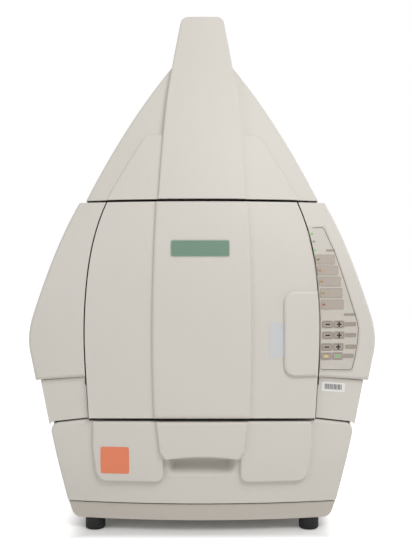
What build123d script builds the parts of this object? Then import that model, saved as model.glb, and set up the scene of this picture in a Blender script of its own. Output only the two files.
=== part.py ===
"""Gel documentation system: a benchtop darkroom cabinet with a lens tower, a hinged door,
a lamp drawer and a key panel. Millimetres, +Z up, front towards -Y, origin on the floor
in the middle of the footprint."""

from build123d import *
from math import cos, radians, sin, sqrt
import os

# Overall levels
TOTAL_HEIGHT = 946.0
SHELL_BACK = 177.0
REAR_PLATE = 3.0

# Moulding walls, seams and fits
WALL = 3.5
DOOR_SKIN = 4.0
SHEET = 1.5
PLATE = 2.0
SIDE_SEAM = 2.5
CROSS_SEAM = 4.5
SEAT_GAP = 0.3
EDGE_ROUND = 7.0

# Front surface: middle depth and plan radius of the arc at each height
BLOCK_HALF_WIDTH = 330.0
FRONT_STATIONS = (
    (-10.0, -157.0, 1500.0),
    (100.0, -165.0, 1500.0),
    (190.0, -171.3, 1500.0),
    (340.0, -171.3, 1400.0),
    (450.0, -169.0, 1300.0),
    (579.0, -153.0, 750.0),
    (700.0, -119.0, 600.0),
    (820.0, -69.0, 560.0),
    (960.0, 0.0, 540.0),
)
BAND_RAISE = 8.0
LOWER_SET_BACK = 9.0
PLINTH_SET_BACK = 12.0
ARCH_SET_BACK = 8.0

# Feet and plinth
FOOT_HEIGHT = 22.0
FOOT_RADIUS = 17.5
FOOT_X = 190.5
FOOT_FRONT_Y = -112.0
FOOT_BACK_Y = 140.0
FOOT_ROUND = 4.0
PLINTH_TOP = 50.5
PLINTH_HALF_TOP = 236.0
PLINTH_CORNER = 17.0

# Lower shells and drawer front
LOWER_HALF_BOTTOM = 238.0
LOWER_HALF_TOP = 284.5
LOWER_TOP = 264.0
DRAWER_BOTTOM = 53.0
DRAWER_TOP_MIDDLE = 199.5
DRAWER_TOP_EDGE = 193.0
DRAWER_SHOULDER_X = 198.0
DRAWER_SHOULDER_Z = 200.5
DRAWER_CORNER_X = 268.5
DRAWER_CORNER_Z = 190.7
DRAWER_CORNER = 16.0
DRAWER_BACK = -106.0
DRAWER_TRAVEL = 240.0

# Door
DOOR_TOP = 579.0
DOOR_BOTTOM_MIDDLE = 204.0
DOOR_BOTTOM_EDGE = 197.5
SEAM_POINTS = (
    (168.0, 579.0),
    (190.0, 510.0),
    (201.5, 425.0),
    (204.5, 345.0),
    (202.0, 280.0),
    (196.5, 190.0),
)
BAND_POINTS = ((80.0, 590.0), (84.5, 450.0), (85.5, 306.0), (81.5, 190.0))
BAND_ROUND = 6.0

# Cheeks
CHEEK_BOTTOM_INNER = 274.5
CHEEK_BOTTOM_OUTER = 266.0
CHEEK_POINTS = (
    (218.5, 579.0),
    (242.0, 531.0),
    (270.0, 460.0),
    (294.5, 389.0),
    (303.5, 356.0),
    (305.0, 338.0),
    (303.5, 318.0),
)
CHEEK_CORNER_X = 292.5

# Upper shell and tower
UPPER_BOTTOM = DOOR_TOP + CROSS_SEAM
ARCH_BOTTOM_HALF = 207.5
ARCH_MIDDLE = (138.5, 713.0)
ARCH_TOP = (52.0, 846.0)
ARCH_CROWN = 880.0
TOWER_POINTS = ((77.0, 575.0), (69.5, 703.0), (61.8, 793.0), (52.8, 858.0), (44.5, 915.0), (39.5, 946.0))
TOWER_CORNER = 15.0
TOWER_EDGE = 3.5
SHOULDER_TOP = 702.0
SHOULDER_CORNER = (103.0, 699.0)
SHOULDER_SIDE = (137.5, 641.0)
SHOULDER_FOOT = 169.0

# Chassis
FRAME_X = 206.0
FRAME_FRONT = -102.0
FLOOR_TOP = FOOT_HEIGHT + WALL
FRONT_FRAME_BOTTOM = 205.0
LINER_HALF_X = 190.0
LINER_BACK = 112.0
LINER_BOTTOM = 206.0
LINER_TOP = 540.0
NECK_HALF_X = 62.0
NECK_HALF_Y = 55.0
DECK_LEVEL = 650.0
OPENING_HALF_X = 158.0
OPENING_BOTTOM = 222.0
OPENING_TOP = 544.0

# Door hardware
HINGE_X = -227.0
HINGE_Y = -140.0
HINGE_LEVELS = (302.0, 420.0)
HINGE_PIN_RADIUS = 2.5
PIN_CLEARANCE = 0.05
HINGE_ARM_DEPTH = 30.0
HINGE_ARM_WALL = 3.0
HINGE_ARM_HEIGHT = 16.0
KNUCKLE_RADIUS = 5.0
BRACKET_PLATE = 3.0
DOOR_LINER_HALF_X = 172.0
DOOR_LINER_BOTTOM = 210.0
DOOR_LINER_TOP = 556.0
DOOR_LINER_BACK = -107.0
SEAL_WIDTH = 7.0

# Key panel on the right cheek
KEY_STAND = 1.3
OVERLAY_THICK = 0.6
KEY_CLEARANCE = 0.3
KEY_TRAVEL = 0.8
BOARD_DEPTH = 5.2
BOARD_THICK = 1.6
WIDE_KEY_HEIGHT = 16.0
WIDE_KEYS = ((215.0, 478.0, 34.6), (218.9, 459.0, 36.9), (222.3, 439.6, 38.4), (224.6, 419.6, 38.9), (226.5, 399.8, 39.4))
SMALL_KEY_WIDTH = 19.0
SMALL_KEY_HEIGHT = 12.0
SMALL_KEY_PITCH = 20.4
SMALL_KEY_ROWS = (("iris", 218.2, 365.2), ("zoom", 218.2, 346.2), ("focus", 216.6, 326.0), ("lamp", 215.6, 310.0))
LIGHTS = ((192.5, 523.4), (195.4, 509.5), (197.4, 494.5))
LIGHT_RADIUS = 1.8

# Drawer parts
TRAY_HALF_X = 192.0
TRAY_BACK = 108.0
TRAY_BOTTOM = 60.0
TRAY_RIM = 120.0
RAIL_BOTTOM = 72.0
RAIL_HEIGHT = 36.0
RAIL_DEPTH = 10.0
HOUSING_HALF_X = 150.0
HOUSING_FRONT = -98.0
HOUSING_TOP = 186.0
GLASS_THICK = 5.0
GLASS_HALF_X = 128.0
GLASS_HALF_Y = 90.0
TUBE_RADIUS = 7.8
TUBE_COUNT = 6
TUBE_LENGTH = 230.0

# Lens and camera
BARREL_RADIUS = 22.0
RING_RADIUS = 30.0
RING_HEIGHT = 10.0
RING_LEVELS = (("iris", 700.0, 0.0), ("focus", 722.0, 90.0), ("zoom", 744.0, 180.0))
PINION_RADIUS = 9.0
MESH_GAP = 0.3
MOTOR_PLATE_LEVEL = 766.0
MOTOR_RADIUS = 10.0
MOTOR_HEIGHT = 32.0
SHAFT_RADIUS = 1.5
CAMERA_BOTTOM = 782.0
CAMERA_HALF = 24.0
CAMERA_HEIGHT = 72.0
BACK_PLATE_Y = 62.0
SLIDE_LEVEL = 656.0
SLIDE_THICK = 4.0
SLIDE_HALF_Y = 44.0
FILTER_PITCH = 70.0

# Rear parts
FAN_X = 100.0
FAN_Z = 118.0
FAN_SIZE = 80.0
FAN_DEPTH = 25.0
FAN_RADIUS = 37.0
FAN_BLADES = 7
SOCKET_X = -110.0
SOCKET_Z = 92.0
VENT_COUNT = 9


# Working limits of the cutting tools
FRONT_REACH = -230.0
PAD_BACK = -20.0
CUT_HALF = 330.0
HOLE_BACK = -100.0
DOOR_CLEAR_X = 210.0
SMALL_STEP = 1.5

# Grip on the door
GRIP_LEFT = 141.0
GRIP_RIGHT = 230.0
GRIP_BOTTOM = 276.0
GRIP_TOP = 423.0
GRIP_CORNER = 20.0
GRIP_RAISE = 7.0
GRIP_ROUND = 5.0

# Door liner ribs, magnets and strikes
DOOR_LINER_RIB_LOW = 320.0
DOOR_LINER_RIB_HIGH = 440.0
HINGE_FOOT_DEPTH = 26.0
HINGE_FOOT_HALF = 15.0
BRACKET_FOOT = 14.0
MAGNET_X = 184.0
MAGNET_WIDTH = 12.0
MAGNET_DEPTH = 7.0
MAGNET_HEIGHT = 24.0
MAGNET_LEVELS = (300.0, 420.0)
STRIKE_FOOT = 12.0

# Drawer front shape
LOBE_TOP_X = 189.6
LOBE_LOW_X = 183.0
LOBE_BOTTOM = 92.5
LOBE_CORNER = 22.0
LOBE_INNER_X = 66.0
LOBE_INNER_CORNER = 14.0
BRIDGE_BOTTOM = 133.0
BRIDGE_RISE = 5.5
BRIDGE_LOW_X = 62.0
BRIDGE_MID_X = 72.7
BRIDGE_TOP_X = 94.5
PAD_ROUND = 4.0
SCOOP_RADIUS = 26.0
SCOOP_HALF_X = 58.0
SCOOP_DROP = 6.0
SCOOP_OFFSET = 6.0
BOSS_X = 150.0
BOSS_LEVELS = (75.0, 165.0)
BOSS_RADIUS = 7.0
PLINTH_TAPER = 9.0

# Chassis details
FRAME_FLANGE = 16.0
FRAME_WINDOWS = (300.0, 450.0)
LAMP_LOW = 480.0
LAMP_DEPTH = 12.0
LAMP_RISE = 30.0
RAIL_LIP_GAP = 1.0
RAIL_END = 12.0
TROUGH_LEVEL = 150.0
TROUGH_RADIUS = 12.0
GLASS_REST = 4.0
TUBE_RISE = 2.0

# Upper shell and tower details
WINDOW_HALF_X = 52.0
WINDOW_LOW = 640.0
WINDOW_HIGH = 840.0
CROWN_HALF = 15.0
SHOULDER_EASE = 8.0
DECK_HALF_X = 95.0
WINDOW_SMALL = 32.0
GUIDE_WALL = 2.0
GUIDE_LIP = 6.0
SLIDE_REACH_LEFT = 110.0
SLIDE_REACH_RIGHT = 40.0
FILTER_RADIUS = 29.0
MOTOR_BORE = 6.0
MOTOR_CLEAR = 22.0

# Rear details
FAN_HUB = 14.0
FAN_SHAFT = 2.0
SOCKET_HALF_X = 40.0
SOCKET_HALF_Z = 18.0
ROCKER_X = SOCKET_X + 11.0
ROCKER_HALF = 7.5
ROCKER_TILT = 7.0
ROCKER_PIN_RADIUS = 1.2
ROCKER_PIN_DEPTH = 6.5
ROCKER_PIN_END = 1.5
WELL_GAP = 0.5
VENT_LOW = 420.0
VENT_PITCH = 12.0
VENT_X = 100.0
VENT_LENGTH = 110.0
VENT_WIDTH = 5.0

# Panel overlay and key board
PANEL_MARGIN = 1.8
PANEL_INNER_X = 170.0
PANEL_OUTER = (
    (262.5, 281.5), (270.1, 308.3), (276.4, 357.8), (268.5, 386.6), (251.7, 440.3), (234.2, 494.2), (216.5, 538.5),
)
PANEL_TOP = 535.0
PANEL_BOTTOM = 284.5
BOARD_INSET = 6.0
STUDS = ((236.0, 489.0), (243.0, 455.0), (255.0, 345.0), (257.0, 326.0), (258.0, 380.0), (212.0, 296.0))
STUD_RADIUS = 2.5
LIGHT_STAND = 1.4
KEY_BACK = -4.0


def block(x_low, x_high, y_low, y_high, z_low, z_high):
    """Plain block between two corners."""
    middle = ((x_low + x_high) / 2, (y_low + y_high) / 2, (z_low + z_high) / 2)
    return Pos(*middle) * Box(x_high - x_low, y_high - y_low, z_high - z_low)


def round_post(x, y, z_low, z_high, radius):
    """Upright cylinder from z_low to z_high."""
    return Pos(x, y, (z_low + z_high) / 2) * Cylinder(radius, z_high - z_low)


def depth_post(x, z, y_low, y_high, radius):
    """Cylinder lying along Y."""
    return Pos(x, (y_low + y_high) / 2, z) * Rot(90, 0, 0) * Cylinder(radius, y_high - y_low)


def front_body(forward, back):
    """Everything behind the front surface, moved forward by an amount, as far as y = back."""
    sections = []
    for level, middle, plan_radius in FRONT_STATIONS:
        front = middle - forward
        edge = front + plan_radius - sqrt(plan_radius**2 - BLOCK_HALF_WIDTH**2)
        left = (-BLOCK_HALF_WIDTH, edge)
        right = (BLOCK_HALF_WIDTH, edge)
        outline = ThreePointArc(left, (0, front), right)
        outline += Polyline(right, (BLOCK_HALF_WIDTH, back), (-BLOCK_HALF_WIDTH, back), left)
        sections.append(Pos(0, 0, level) * make_face(outline))
    return loft(sections)


def through(sketch, front, back):
    """Front-view sketch made solid between y = front and y = back."""
    return extrude(Plane.XZ.offset(-back) * sketch, amount=back - front)


def both_sides(half):
    """Face from the right-hand half of a symmetrical front-view outline."""
    return make_face(half + mirror(half, about=Plane.YZ))


def round_rect(x, z, width, height, corner):
    """Rounded rectangle in the front view."""
    return Pos(x, z) * RectangleRounded(width, height, corner)


def solids_by_side(shape):
    """The left and right solid of a symmetrical pair."""
    ordered = shape.solids().sort_by(Axis.X)
    return ordered[0], ordered[-1]


def seam_points(shift):
    """Right-hand door seam moved outward by an amount."""
    return [(x + shift, z) for x, z in SEAM_POINTS]


def door_outline(shift):
    """Door outline in the front view, grown by shift at the sides and at the arched bottom."""
    top_corner = (SEAM_POINTS[0][0] + shift, DOOR_TOP)
    foot = SEAM_POINTS[-1][1]
    foot_corner = (SEAM_POINTS[-1][0] + shift, foot)
    full = both_sides(
        Line((0, DOOR_TOP), top_corner) + Spline(*seam_points(shift)) + Line(foot_corner, (0, foot))
    )
    return full - under_arch(DOOR_BOTTOM_MIDDLE - shift, DOOR_BOTTOM_EDGE - shift)


def under_arch(middle_level, edge_level):
    """Face below the shallow arch that parts the door from the drawer."""
    left = (-CUT_HALF, edge_level)
    right = (CUT_HALF, edge_level)
    arch = ThreePointArc(left, (0, middle_level), right)
    return make_face(arch + Polyline(right, (CUT_HALF, -CUT_HALF), (-CUT_HALF, -CUT_HALF), left))


def band_outline(inset):
    """Outline of the raised middle band."""
    side = [(x - inset, z) for x, z in BAND_POINTS]
    top = Line((0, side[0][1]), side[0])
    return both_sides(top + Spline(*side) + Line(side[-1], (0, side[-1][1])))


def raised_pad(outline, forward, base, edge_radius):
    """Raised area of a moulding with a rounded rim, from the depth base forward."""
    pad = front_body(forward, SHELL_BACK) & through(outline, FRONT_REACH, PAD_BACK)
    rim = pad.faces().sort_by(Axis.Y)[0].edges()
    rounded = fillet(rim, edge_radius)
    return rounded - front_body(base, SHELL_BACK)


def sheet(outline, forward, thickness):
    """Curved sheet of a given thickness that follows the front surface."""
    skin = front_body(forward, SHELL_BACK) & through(outline, FRONT_REACH, PAD_BACK)
    return skin - front_body(forward - thickness, SHELL_BACK)


def grip_outline(inset):
    """Outline of the raised grip at the door's right edge."""
    left = GRIP_LEFT + inset
    low = GRIP_BOTTOM + inset
    high = GRIP_TOP - inset
    grip = make_face(Polyline((GRIP_RIGHT, low), (left, low), (left, high), (GRIP_RIGHT, high), close=True))
    corners = grip.vertices().group_by(Axis.X)[0]
    return fillet(corners, GRIP_CORNER) & door_outline(-inset - SIDE_SEAM / 2)


def make_door():
    """Door panel: one curved skin with its raised middle band and grip."""
    outline = door_outline(-SIDE_SEAM / 2)
    skin = sheet(outline, 0, DOOR_SKIN)
    band = raised_pad(band_outline(0) & outline, BAND_RAISE, -DOOR_SKIN, BAND_ROUND)
    hollow = band_outline(DOOR_SKIN * 2) & door_outline(-DOOR_SKIN * 3)
    grip = raised_pad(grip_outline(0), GRIP_RAISE, -DOOR_SKIN / 2, GRIP_ROUND)
    panel = skin + band + grip
    return panel - sheet(hollow, BAND_RAISE - DOOR_SKIN, 2 * BAND_RAISE)


def make_door_liner():
    """Inner tray of the door, from the back of the skin to the seal."""
    outer = block(
        -DOOR_LINER_HALF_X, DOOR_LINER_HALF_X, FRONT_REACH, DOOR_LINER_BACK, DOOR_LINER_BOTTOM, DOOR_LINER_TOP
    )
    inner = block(
        PLATE - DOOR_LINER_HALF_X,
        DOOR_LINER_HALF_X - PLATE,
        FRONT_REACH,
        DOOR_LINER_BACK - PLATE,
        DOOR_LINER_BOTTOM + PLATE,
        DOOR_LINER_TOP - PLATE,
    )
    ribs = [
        block(
            -DOOR_LINER_HALF_X, DOOR_LINER_HALF_X, FRONT_REACH, DOOR_LINER_BACK, level, level + PLATE
        )
        for level in (DOOR_LINER_RIB_LOW, DOOR_LINER_RIB_HIGH)
    ]
    tray = outer - inner
    for rib in ribs:
        tray += rib
    return tray & front_body(-DOOR_SKIN, SHELL_BACK)


def make_seal():
    """Foam ring on the back of the door liner."""
    reach = DOOR_LINER_HALF_X - PLATE
    low = DOOR_LINER_BOTTOM + PLATE
    high = DOOR_LINER_TOP - PLATE
    back = FRAME_FRONT - PLATE - SEAT_GAP
    outer = block(-reach, reach, DOOR_LINER_BACK, back, low, high)
    inner = block(
        SEAL_WIDTH - reach, reach - SEAL_WIDTH, DOOR_LINER_BACK - 1, back + 1, low + SEAL_WIDTH, high - SEAL_WIDTH
    )
    return outer - inner


def hinge_arm(level):
    """Goose-neck arm that carries the door round the edge of the cheek."""
    low = level - HINGE_ARM_HEIGHT / 2
    high = level + HINGE_ARM_HEIGHT / 2
    half = HINGE_ARM_WALL / 2
    bend = HINGE_Y + HINGE_ARM_DEPTH
    foot_x = -DOOR_LINER_HALF_X
    arm = round_post(HINGE_X, HINGE_Y, low, high, KNUCKLE_RADIUS)
    arm += block(HINGE_X - half, HINGE_X + half, HINGE_Y, bend + half, low, high)
    arm += block(HINGE_X - half, foot_x, bend - half, bend + half, low, high)
    arm += block(
        foot_x - HINGE_ARM_WALL, foot_x, bend - HINGE_FOOT_DEPTH, bend + half,
        level - HINGE_FOOT_HALF, level + HINGE_FOOT_HALF,
    )
    return arm - round_post(HINGE_X, HINGE_Y, low - 1, high + 1, HINGE_PIN_RADIUS + PIN_CLEARANCE)


def hinge_bracket(level):
    """Fixed bracket with two plates and the pin between them."""
    reach = HINGE_ARM_HEIGHT / 2 + SEAT_GAP
    frame_side = -FRAME_X - PLATE
    nose = make_face(
        Polyline(
            (frame_side, FRAME_FRONT + BRACKET_FOOT),
            (frame_side, FRAME_FRONT),
            (HINGE_X + KNUCKLE_RADIUS, HINGE_Y),
            (HINGE_X - KNUCKLE_RADIUS, HINGE_Y),
            (frame_side - BRACKET_FOOT, FRAME_FRONT + BRACKET_FOOT),
            close=True,
        )
    )
    nose += Pos(HINGE_X, HINGE_Y) * Circle(KNUCKLE_RADIUS)
    lower = Pos(0, 0, level - reach - BRACKET_PLATE) * extrude(nose, amount=BRACKET_PLATE)
    upper = Pos(0, 0, level + reach) * extrude(nose, amount=BRACKET_PLATE)
    web = block(
        frame_side - PLATE, frame_side, FRAME_FRONT, FRAME_FRONT + BRACKET_FOOT,
        level - reach - BRACKET_PLATE, level + reach + BRACKET_PLATE,
    )
    pin = round_post(
        HINGE_X, HINGE_Y, level - reach - BRACKET_PLATE, level + reach + BRACKET_PLATE, HINGE_PIN_RADIUS
    )
    return lower + upper + web + pin


def make_magnets():
    """Two catch magnets on the front frame."""
    front = FRAME_FRONT - PLATE
    return [
        block(MAGNET_X, MAGNET_X + MAGNET_WIDTH, front - MAGNET_DEPTH, front, level, level + MAGNET_HEIGHT)
        for level in MAGNET_LEVELS
    ]


def make_strikes():
    """Two bent steel plates on the door liner that meet the magnets."""
    face = FRAME_FRONT - PLATE - MAGNET_DEPTH - SEAT_GAP
    plates = []
    for level in MAGNET_LEVELS:
        strike = block(
            DOOR_LINER_HALF_X, MAGNET_X + MAGNET_WIDTH, face - PLATE, face, level, level + MAGNET_HEIGHT
        )
        strike += block(
            DOOR_LINER_HALF_X, DOOR_LINER_HALF_X + PLATE, face - STRIKE_FOOT, face, level, level + MAGNET_HEIGHT
        )
        plates.append(strike)
    return plates


def cheek_outline(shift):
    """Outline across both cheeks, shrunk by shift."""
    side = [(x - shift, z) for x, z in CHEEK_POINTS]
    top = DOOR_TOP - shift
    side[0] = (side[0][0], top)
    corner = (CHEEK_CORNER_X - shift, CHEEK_BOTTOM_OUTER + shift)
    inner = (0, CHEEK_BOTTOM_INNER + shift)
    slope_end = (SEAM_POINTS[-1][0], CHEEK_BOTTOM_INNER + shift)
    rim = Line((0, top), side[0]) + Spline(*side) + Line(side[-1], corner)
    return both_sides(rim + Line(corner, slope_end) + Line(slope_end, inner))


def make_cheeks():
    """Left and right side covers with closed tops and bottoms, open towards the chassis."""
    outer = front_body(0, SHELL_BACK) & through(cheek_outline(0), FRONT_REACH, SHELL_BACK)
    front_rim = outer.faces().sort_by(Axis.Y)[0].edges()
    outer = fillet([edge for edge in front_rim if abs(edge.center().X) > DOOR_CLEAR_X], EDGE_ROUND)
    inner = front_body(-WALL, SHELL_BACK + 1) & through(cheek_outline(WALL), FRONT_REACH, SHELL_BACK + 1)
    shell = outer - inner
    shell -= through(door_outline(SIDE_SEAM / 2) + low_door_strip(), FRONT_REACH, FRAME_FRONT - PLATE - SEAT_GAP)
    shell -= block(
        -FRAME_X - PLATE - SEAT_GAP, FRAME_X + PLATE + SEAT_GAP,
        FRAME_FRONT - PLATE - SEAT_GAP, SHELL_BACK + 1, DRAWER_BOTTOM, TOTAL_HEIGHT,
    )
    return solids_by_side(shell)


def low_door_strip():
    """Strip above the door's top edge, so that the door's opening runs out of the cheeks."""
    return Pos(0, DOOR_TOP) * Rectangle(2 * (SEAM_POINTS[0][0] + SIDE_SEAM / 2), 2 * CROSS_SEAM)


def lower_outline(shift):
    """Outline across both lower side shells, shrunk by shift."""
    low = (LOWER_HALF_BOTTOM - shift, PLINTH_TOP + SEAT_GAP + shift)
    high = (LOWER_HALF_TOP - shift, CHEEK_BOTTOM_OUTER - 2 * SEAT_GAP - shift)
    slope_end = (SEAM_POINTS[-1][0], CHEEK_BOTTOM_INNER - 2 * SEAT_GAP - shift)
    return both_sides(
        Polyline((0, low[1]), low, high, slope_end, (0, slope_end[1]))
    )


def drawer_outline(shift):
    """Outline of the drawer front, shrunk by shift."""
    low = DRAWER_BOTTOM + shift
    top = DRAWER_SHOULDER_Z - shift
    right = [
        (LOWER_HALF_BOTTOM - shift, low),
        (DRAWER_CORNER_X - shift, DRAWER_CORNER_Z - shift),
        (DRAWER_SHOULDER_X, top),
    ]
    left = [(-x, z) for x, z in reversed(right)]
    full = make_face(Polyline(*right, *left, close=True))
    corners = [vertex for vertex in full.vertices() if abs(vertex.X) > DRAWER_CORNER_X - shift - 1]
    full = fillet(corners, DRAWER_CORNER - shift)
    notch = full & under_arch_cover(shift)
    notch &= Rectangle(2 * (DRAWER_SHOULDER_X - SMALL_STEP + shift), 2 * TOTAL_HEIGHT)
    return full - notch


def make_lower_shells():
    """Left and right lower side shells."""
    outer = front_body(-LOWER_SET_BACK, SHELL_BACK) & through(lower_outline(0), FRONT_REACH, SHELL_BACK)
    inner = front_body(-LOWER_SET_BACK - WALL, SHELL_BACK + 1)
    inner &= through(lower_outline(WALL), FRONT_REACH, SHELL_BACK + 1)
    shell = outer - inner
    front_cut = door_outline(SIDE_SEAM / 2) + Pos(0, CHEEK_BOTTOM_INNER) * Rectangle(2 * DOOR_CLEAR_X, 30)
    shell -= through(front_cut, FRONT_REACH, FRAME_FRONT - PLATE - SEAT_GAP)
    shell -= through(drawer_gap_outline(), FRONT_REACH, DRAWER_BACK + SIDE_SEAM)
    shell -= block(
        -FRAME_X - PLATE - SEAT_GAP, FRAME_X + PLATE + SEAT_GAP,
        FRAME_FRONT - PLATE - SEAT_GAP, SHELL_BACK + 1, 0, TOTAL_HEIGHT,
    )
    shell -= block(-DRAWER_SHOULDER_X, DRAWER_SHOULDER_X, FRONT_REACH, FRAME_FRONT, 0, DOOR_BOTTOM_MIDDLE + 8)
    return solids_by_side(shell)


def drawer_gap_outline():
    """Everything that the drawer front and the seam round it take up."""
    right = [
        (LOWER_HALF_BOTTOM + SIDE_SEAM, 0),
        (DRAWER_CORNER_X + CUT_HALF / 2, 0),
        (DRAWER_CORNER_X + CUT_HALF / 2, DRAWER_CORNER_Z - DRAWER_CORNER),
        (DRAWER_CORNER_X + SIDE_SEAM, DRAWER_CORNER_Z - DRAWER_CORNER),
        (DRAWER_CORNER_X + SIDE_SEAM, DRAWER_CORNER_Z + SIDE_SEAM),
        (DRAWER_SHOULDER_X, DRAWER_SHOULDER_Z + SIDE_SEAM),
    ]
    left = [(-x, z) for x, z in reversed(right)]
    gap = make_face(Polyline(*right, *left, close=True))
    corner = gap.vertices().filter_by(lambda v: v.Y > DRAWER_CORNER_Z and abs(v.X) > DRAWER_CORNER_X)
    return fillet(corner, DRAWER_CORNER)


def lobe_outline():
    """Raised pad of the drawer front: two lobes joined across the top."""
    outer = make_face(
        Polyline(
            (-LOBE_TOP_X, CUT_HALF), (-LOBE_TOP_X, LOBE_BOTTOM + 60), (-LOBE_LOW_X, LOBE_BOTTOM),
            (LOBE_LOW_X, LOBE_BOTTOM), (LOBE_TOP_X, LOBE_BOTTOM + 60), (LOBE_TOP_X, CUT_HALF), close=True,
        )
    )
    outer = fillet(outer.vertices().group_by(Axis.Y)[0], LOBE_CORNER)
    gap = Pos(0, BRIDGE_BOTTOM - 100) * Rectangle(2 * LOBE_INNER_X, 200)
    lobes = outer - gap - under_arch_cover(0)
    return fillet(lobes.vertices().group_by(Axis.Y)[0].filter_by(lambda v: abs(v.X) < LOBE_INNER_X + 1), LOBE_INNER_CORNER)


def under_arch_cover(shift):
    """Everything above the arched top edge of the drawer's pad, moved down by shift."""
    cover = Rectangle(2 * CUT_HALF, 2 * TOTAL_HEIGHT)
    return cover - under_arch(DRAWER_TOP_MIDDLE - shift, DRAWER_TOP_EDGE - shift)


def bridge_outline():
    """Proud middle bridge that carries the band down on to the drawer."""
    left = (-BRIDGE_LOW_X, BRIDGE_BOTTOM)
    right = (BRIDGE_LOW_X, BRIDGE_BOTTOM)
    under = ThreePointArc(left, (0, BRIDGE_BOTTOM + BRIDGE_RISE), right)
    sides = Polyline(
        right, (BRIDGE_MID_X, BRIDGE_BOTTOM + 14), (BRIDGE_TOP_X, CUT_HALF), (-BRIDGE_TOP_X, CUT_HALF),
        (-BRIDGE_MID_X, BRIDGE_BOTTOM + 14), left,
    )
    return make_face(under + sides) - under_arch_cover(0)


def make_drawer_front():
    """Moulded drawer front with lobes, bridge and finger scoop."""
    back = DRAWER_BACK
    outer = front_body(-LOWER_SET_BACK, SHELL_BACK) & through(drawer_outline(0), FRONT_REACH, back)
    rim = outer.faces().sort_by(Axis.Y)[0].edges()
    outer = fillet([edge for edge in rim if abs(edge.center().X) > DRAWER_SHOULDER_X], EDGE_ROUND - 1)
    inner = front_body(-LOWER_SET_BACK - WALL, SHELL_BACK) & through(drawer_outline(WALL), FRONT_REACH, back + 1)
    front = outer - inner
    front += raised_pad(lobe_outline(), 0, -LOWER_SET_BACK - WALL / 2, PAD_ROUND)
    front += raised_pad(bridge_outline(), BAND_RAISE, -LOWER_SET_BACK - WALL / 2, PAD_ROUND)
    scoop_wall = scoop(WALL) & block(
        -LOBE_INNER_X, LOBE_INNER_X, -160.0, back, DRAWER_BOTTOM + WALL, DRAWER_TOP_EDGE - WALL
    )
    front += scoop_wall & front_body(-LOWER_SET_BACK - WALL / 2, SHELL_BACK)
    for x in (-BOSS_X, BOSS_X):
        for level in BOSS_LEVELS:
            post = depth_post(x, level, FRONT_REACH, back, BOSS_RADIUS)
            front += post & front_body(-LOWER_SET_BACK - WALL / 2, SHELL_BACK)
    return front - scoop(0)


def scoop(grow):
    """Finger scoop under and behind the bridge."""
    middle_y = FRONT_STATIONS[1][1] + LOWER_SET_BACK + SCOOP_OFFSET
    level = BRIDGE_BOTTOM - SCOOP_DROP
    ball = Pos(0, middle_y, level) * Rot(0, 90, 0) * Cylinder(SCOOP_RADIUS + grow, 2 * (SCOOP_HALF_X + grow))
    return ball


def make_tray():
    """Folded steel drawer tray with a front plate that meets the moulding."""
    front = DRAWER_BACK
    outer = block(-TRAY_HALF_X, TRAY_HALF_X, front, TRAY_BACK, TRAY_BOTTOM, TRAY_RIM)
    inner = block(
        SHEET - TRAY_HALF_X, TRAY_HALF_X - SHEET, front + SHEET, TRAY_BACK - SHEET, TRAY_BOTTOM + SHEET, TRAY_RIM + 1
    )
    tray = outer - inner
    tray += block(-TRAY_HALF_X, TRAY_HALF_X, front, front + SHEET, TRAY_BOTTOM, HOUSING_TOP)
    slots = [
        block(x - 3, x + 3, TRAY_BACK - 60, TRAY_BACK - 20, TRAY_BOTTOM - 1, TRAY_BOTTOM + SHEET + 1)
        for x in range(-120, 121, 30)
    ]
    return tray - slots


def outer_rail(side):
    """Fixed rail: a channel open towards the drawer."""
    web = FRAME_X
    lip = TRAY_HALF_X + RAIL_LIP_GAP
    solid = block(lip, web, FRAME_FRONT, TRAY_BACK, RAIL_BOTTOM, RAIL_BOTTOM + RAIL_HEIGHT)
    hollow = block(
        lip - 1, web - PLATE, FRAME_FRONT - 1, TRAY_BACK + 1, RAIL_BOTTOM + PLATE, RAIL_BOTTOM + RAIL_HEIGHT - PLATE
    )
    rail = solid - hollow
    return rail if side > 0 else mirror(rail, about=Plane.YZ)


def inner_rail(side):
    """Sliding rail on the drawer tray, inside the channel."""
    rail = block(
        TRAY_HALF_X, FRAME_X - PLATE - SEAT_GAP, FRAME_FRONT, TRAY_BACK - RAIL_END,
        RAIL_BOTTOM + PLATE + SEAT_GAP, RAIL_BOTTOM + RAIL_HEIGHT - PLATE - SEAT_GAP,
    )
    return rail if side > 0 else mirror(rail, about=Plane.YZ)


def make_lamp_housing():
    """Lamp housing, open below, with a reflector trough for each tube and a lid round the glass."""
    back = TRAY_BACK - PLATE - SHEET
    floor = TRAY_BOTTOM + SHEET
    outer = block(-HOUSING_HALF_X, HOUSING_HALF_X, HOUSING_FRONT, back, floor, HOUSING_TOP)
    inner = block(
        PLATE - HOUSING_HALF_X, HOUSING_HALF_X - PLATE, HOUSING_FRONT + PLATE, back - PLATE,
        floor - 1, HOUSING_TOP - PLATE,
    )
    window_x = GLASS_HALF_X - GLASS_REST
    window_y = GLASS_HALF_Y - GLASS_REST
    window = block(-window_x, window_x, -window_y, window_y, TROUGH_LEVEL, HOUSING_TOP + 1)
    reach = HOUSING_HALF_X - PLATE
    reflector = block(-reach, reach, HOUSING_FRONT + PLATE, back - PLATE, TROUGH_LEVEL - SHEET, TROUGH_LEVEL)
    troughs = []
    for y in tube_places():
        troughs.append(Pos(0, y, TROUGH_LEVEL) * Rot(0, 90, 0) * Cylinder(TROUGH_RADIUS, 2 * reach))
        reflector += Pos(0, y, TROUGH_LEVEL) * Rot(0, 90, 0) * Cylinder(TROUGH_RADIUS + SHEET, 2 * reach)
    reflector -= block(-reach - 1, reach + 1, HOUSING_FRONT, back, TROUGH_LEVEL, HOUSING_TOP)
    return outer - inner - window + (reflector - troughs)


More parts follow.
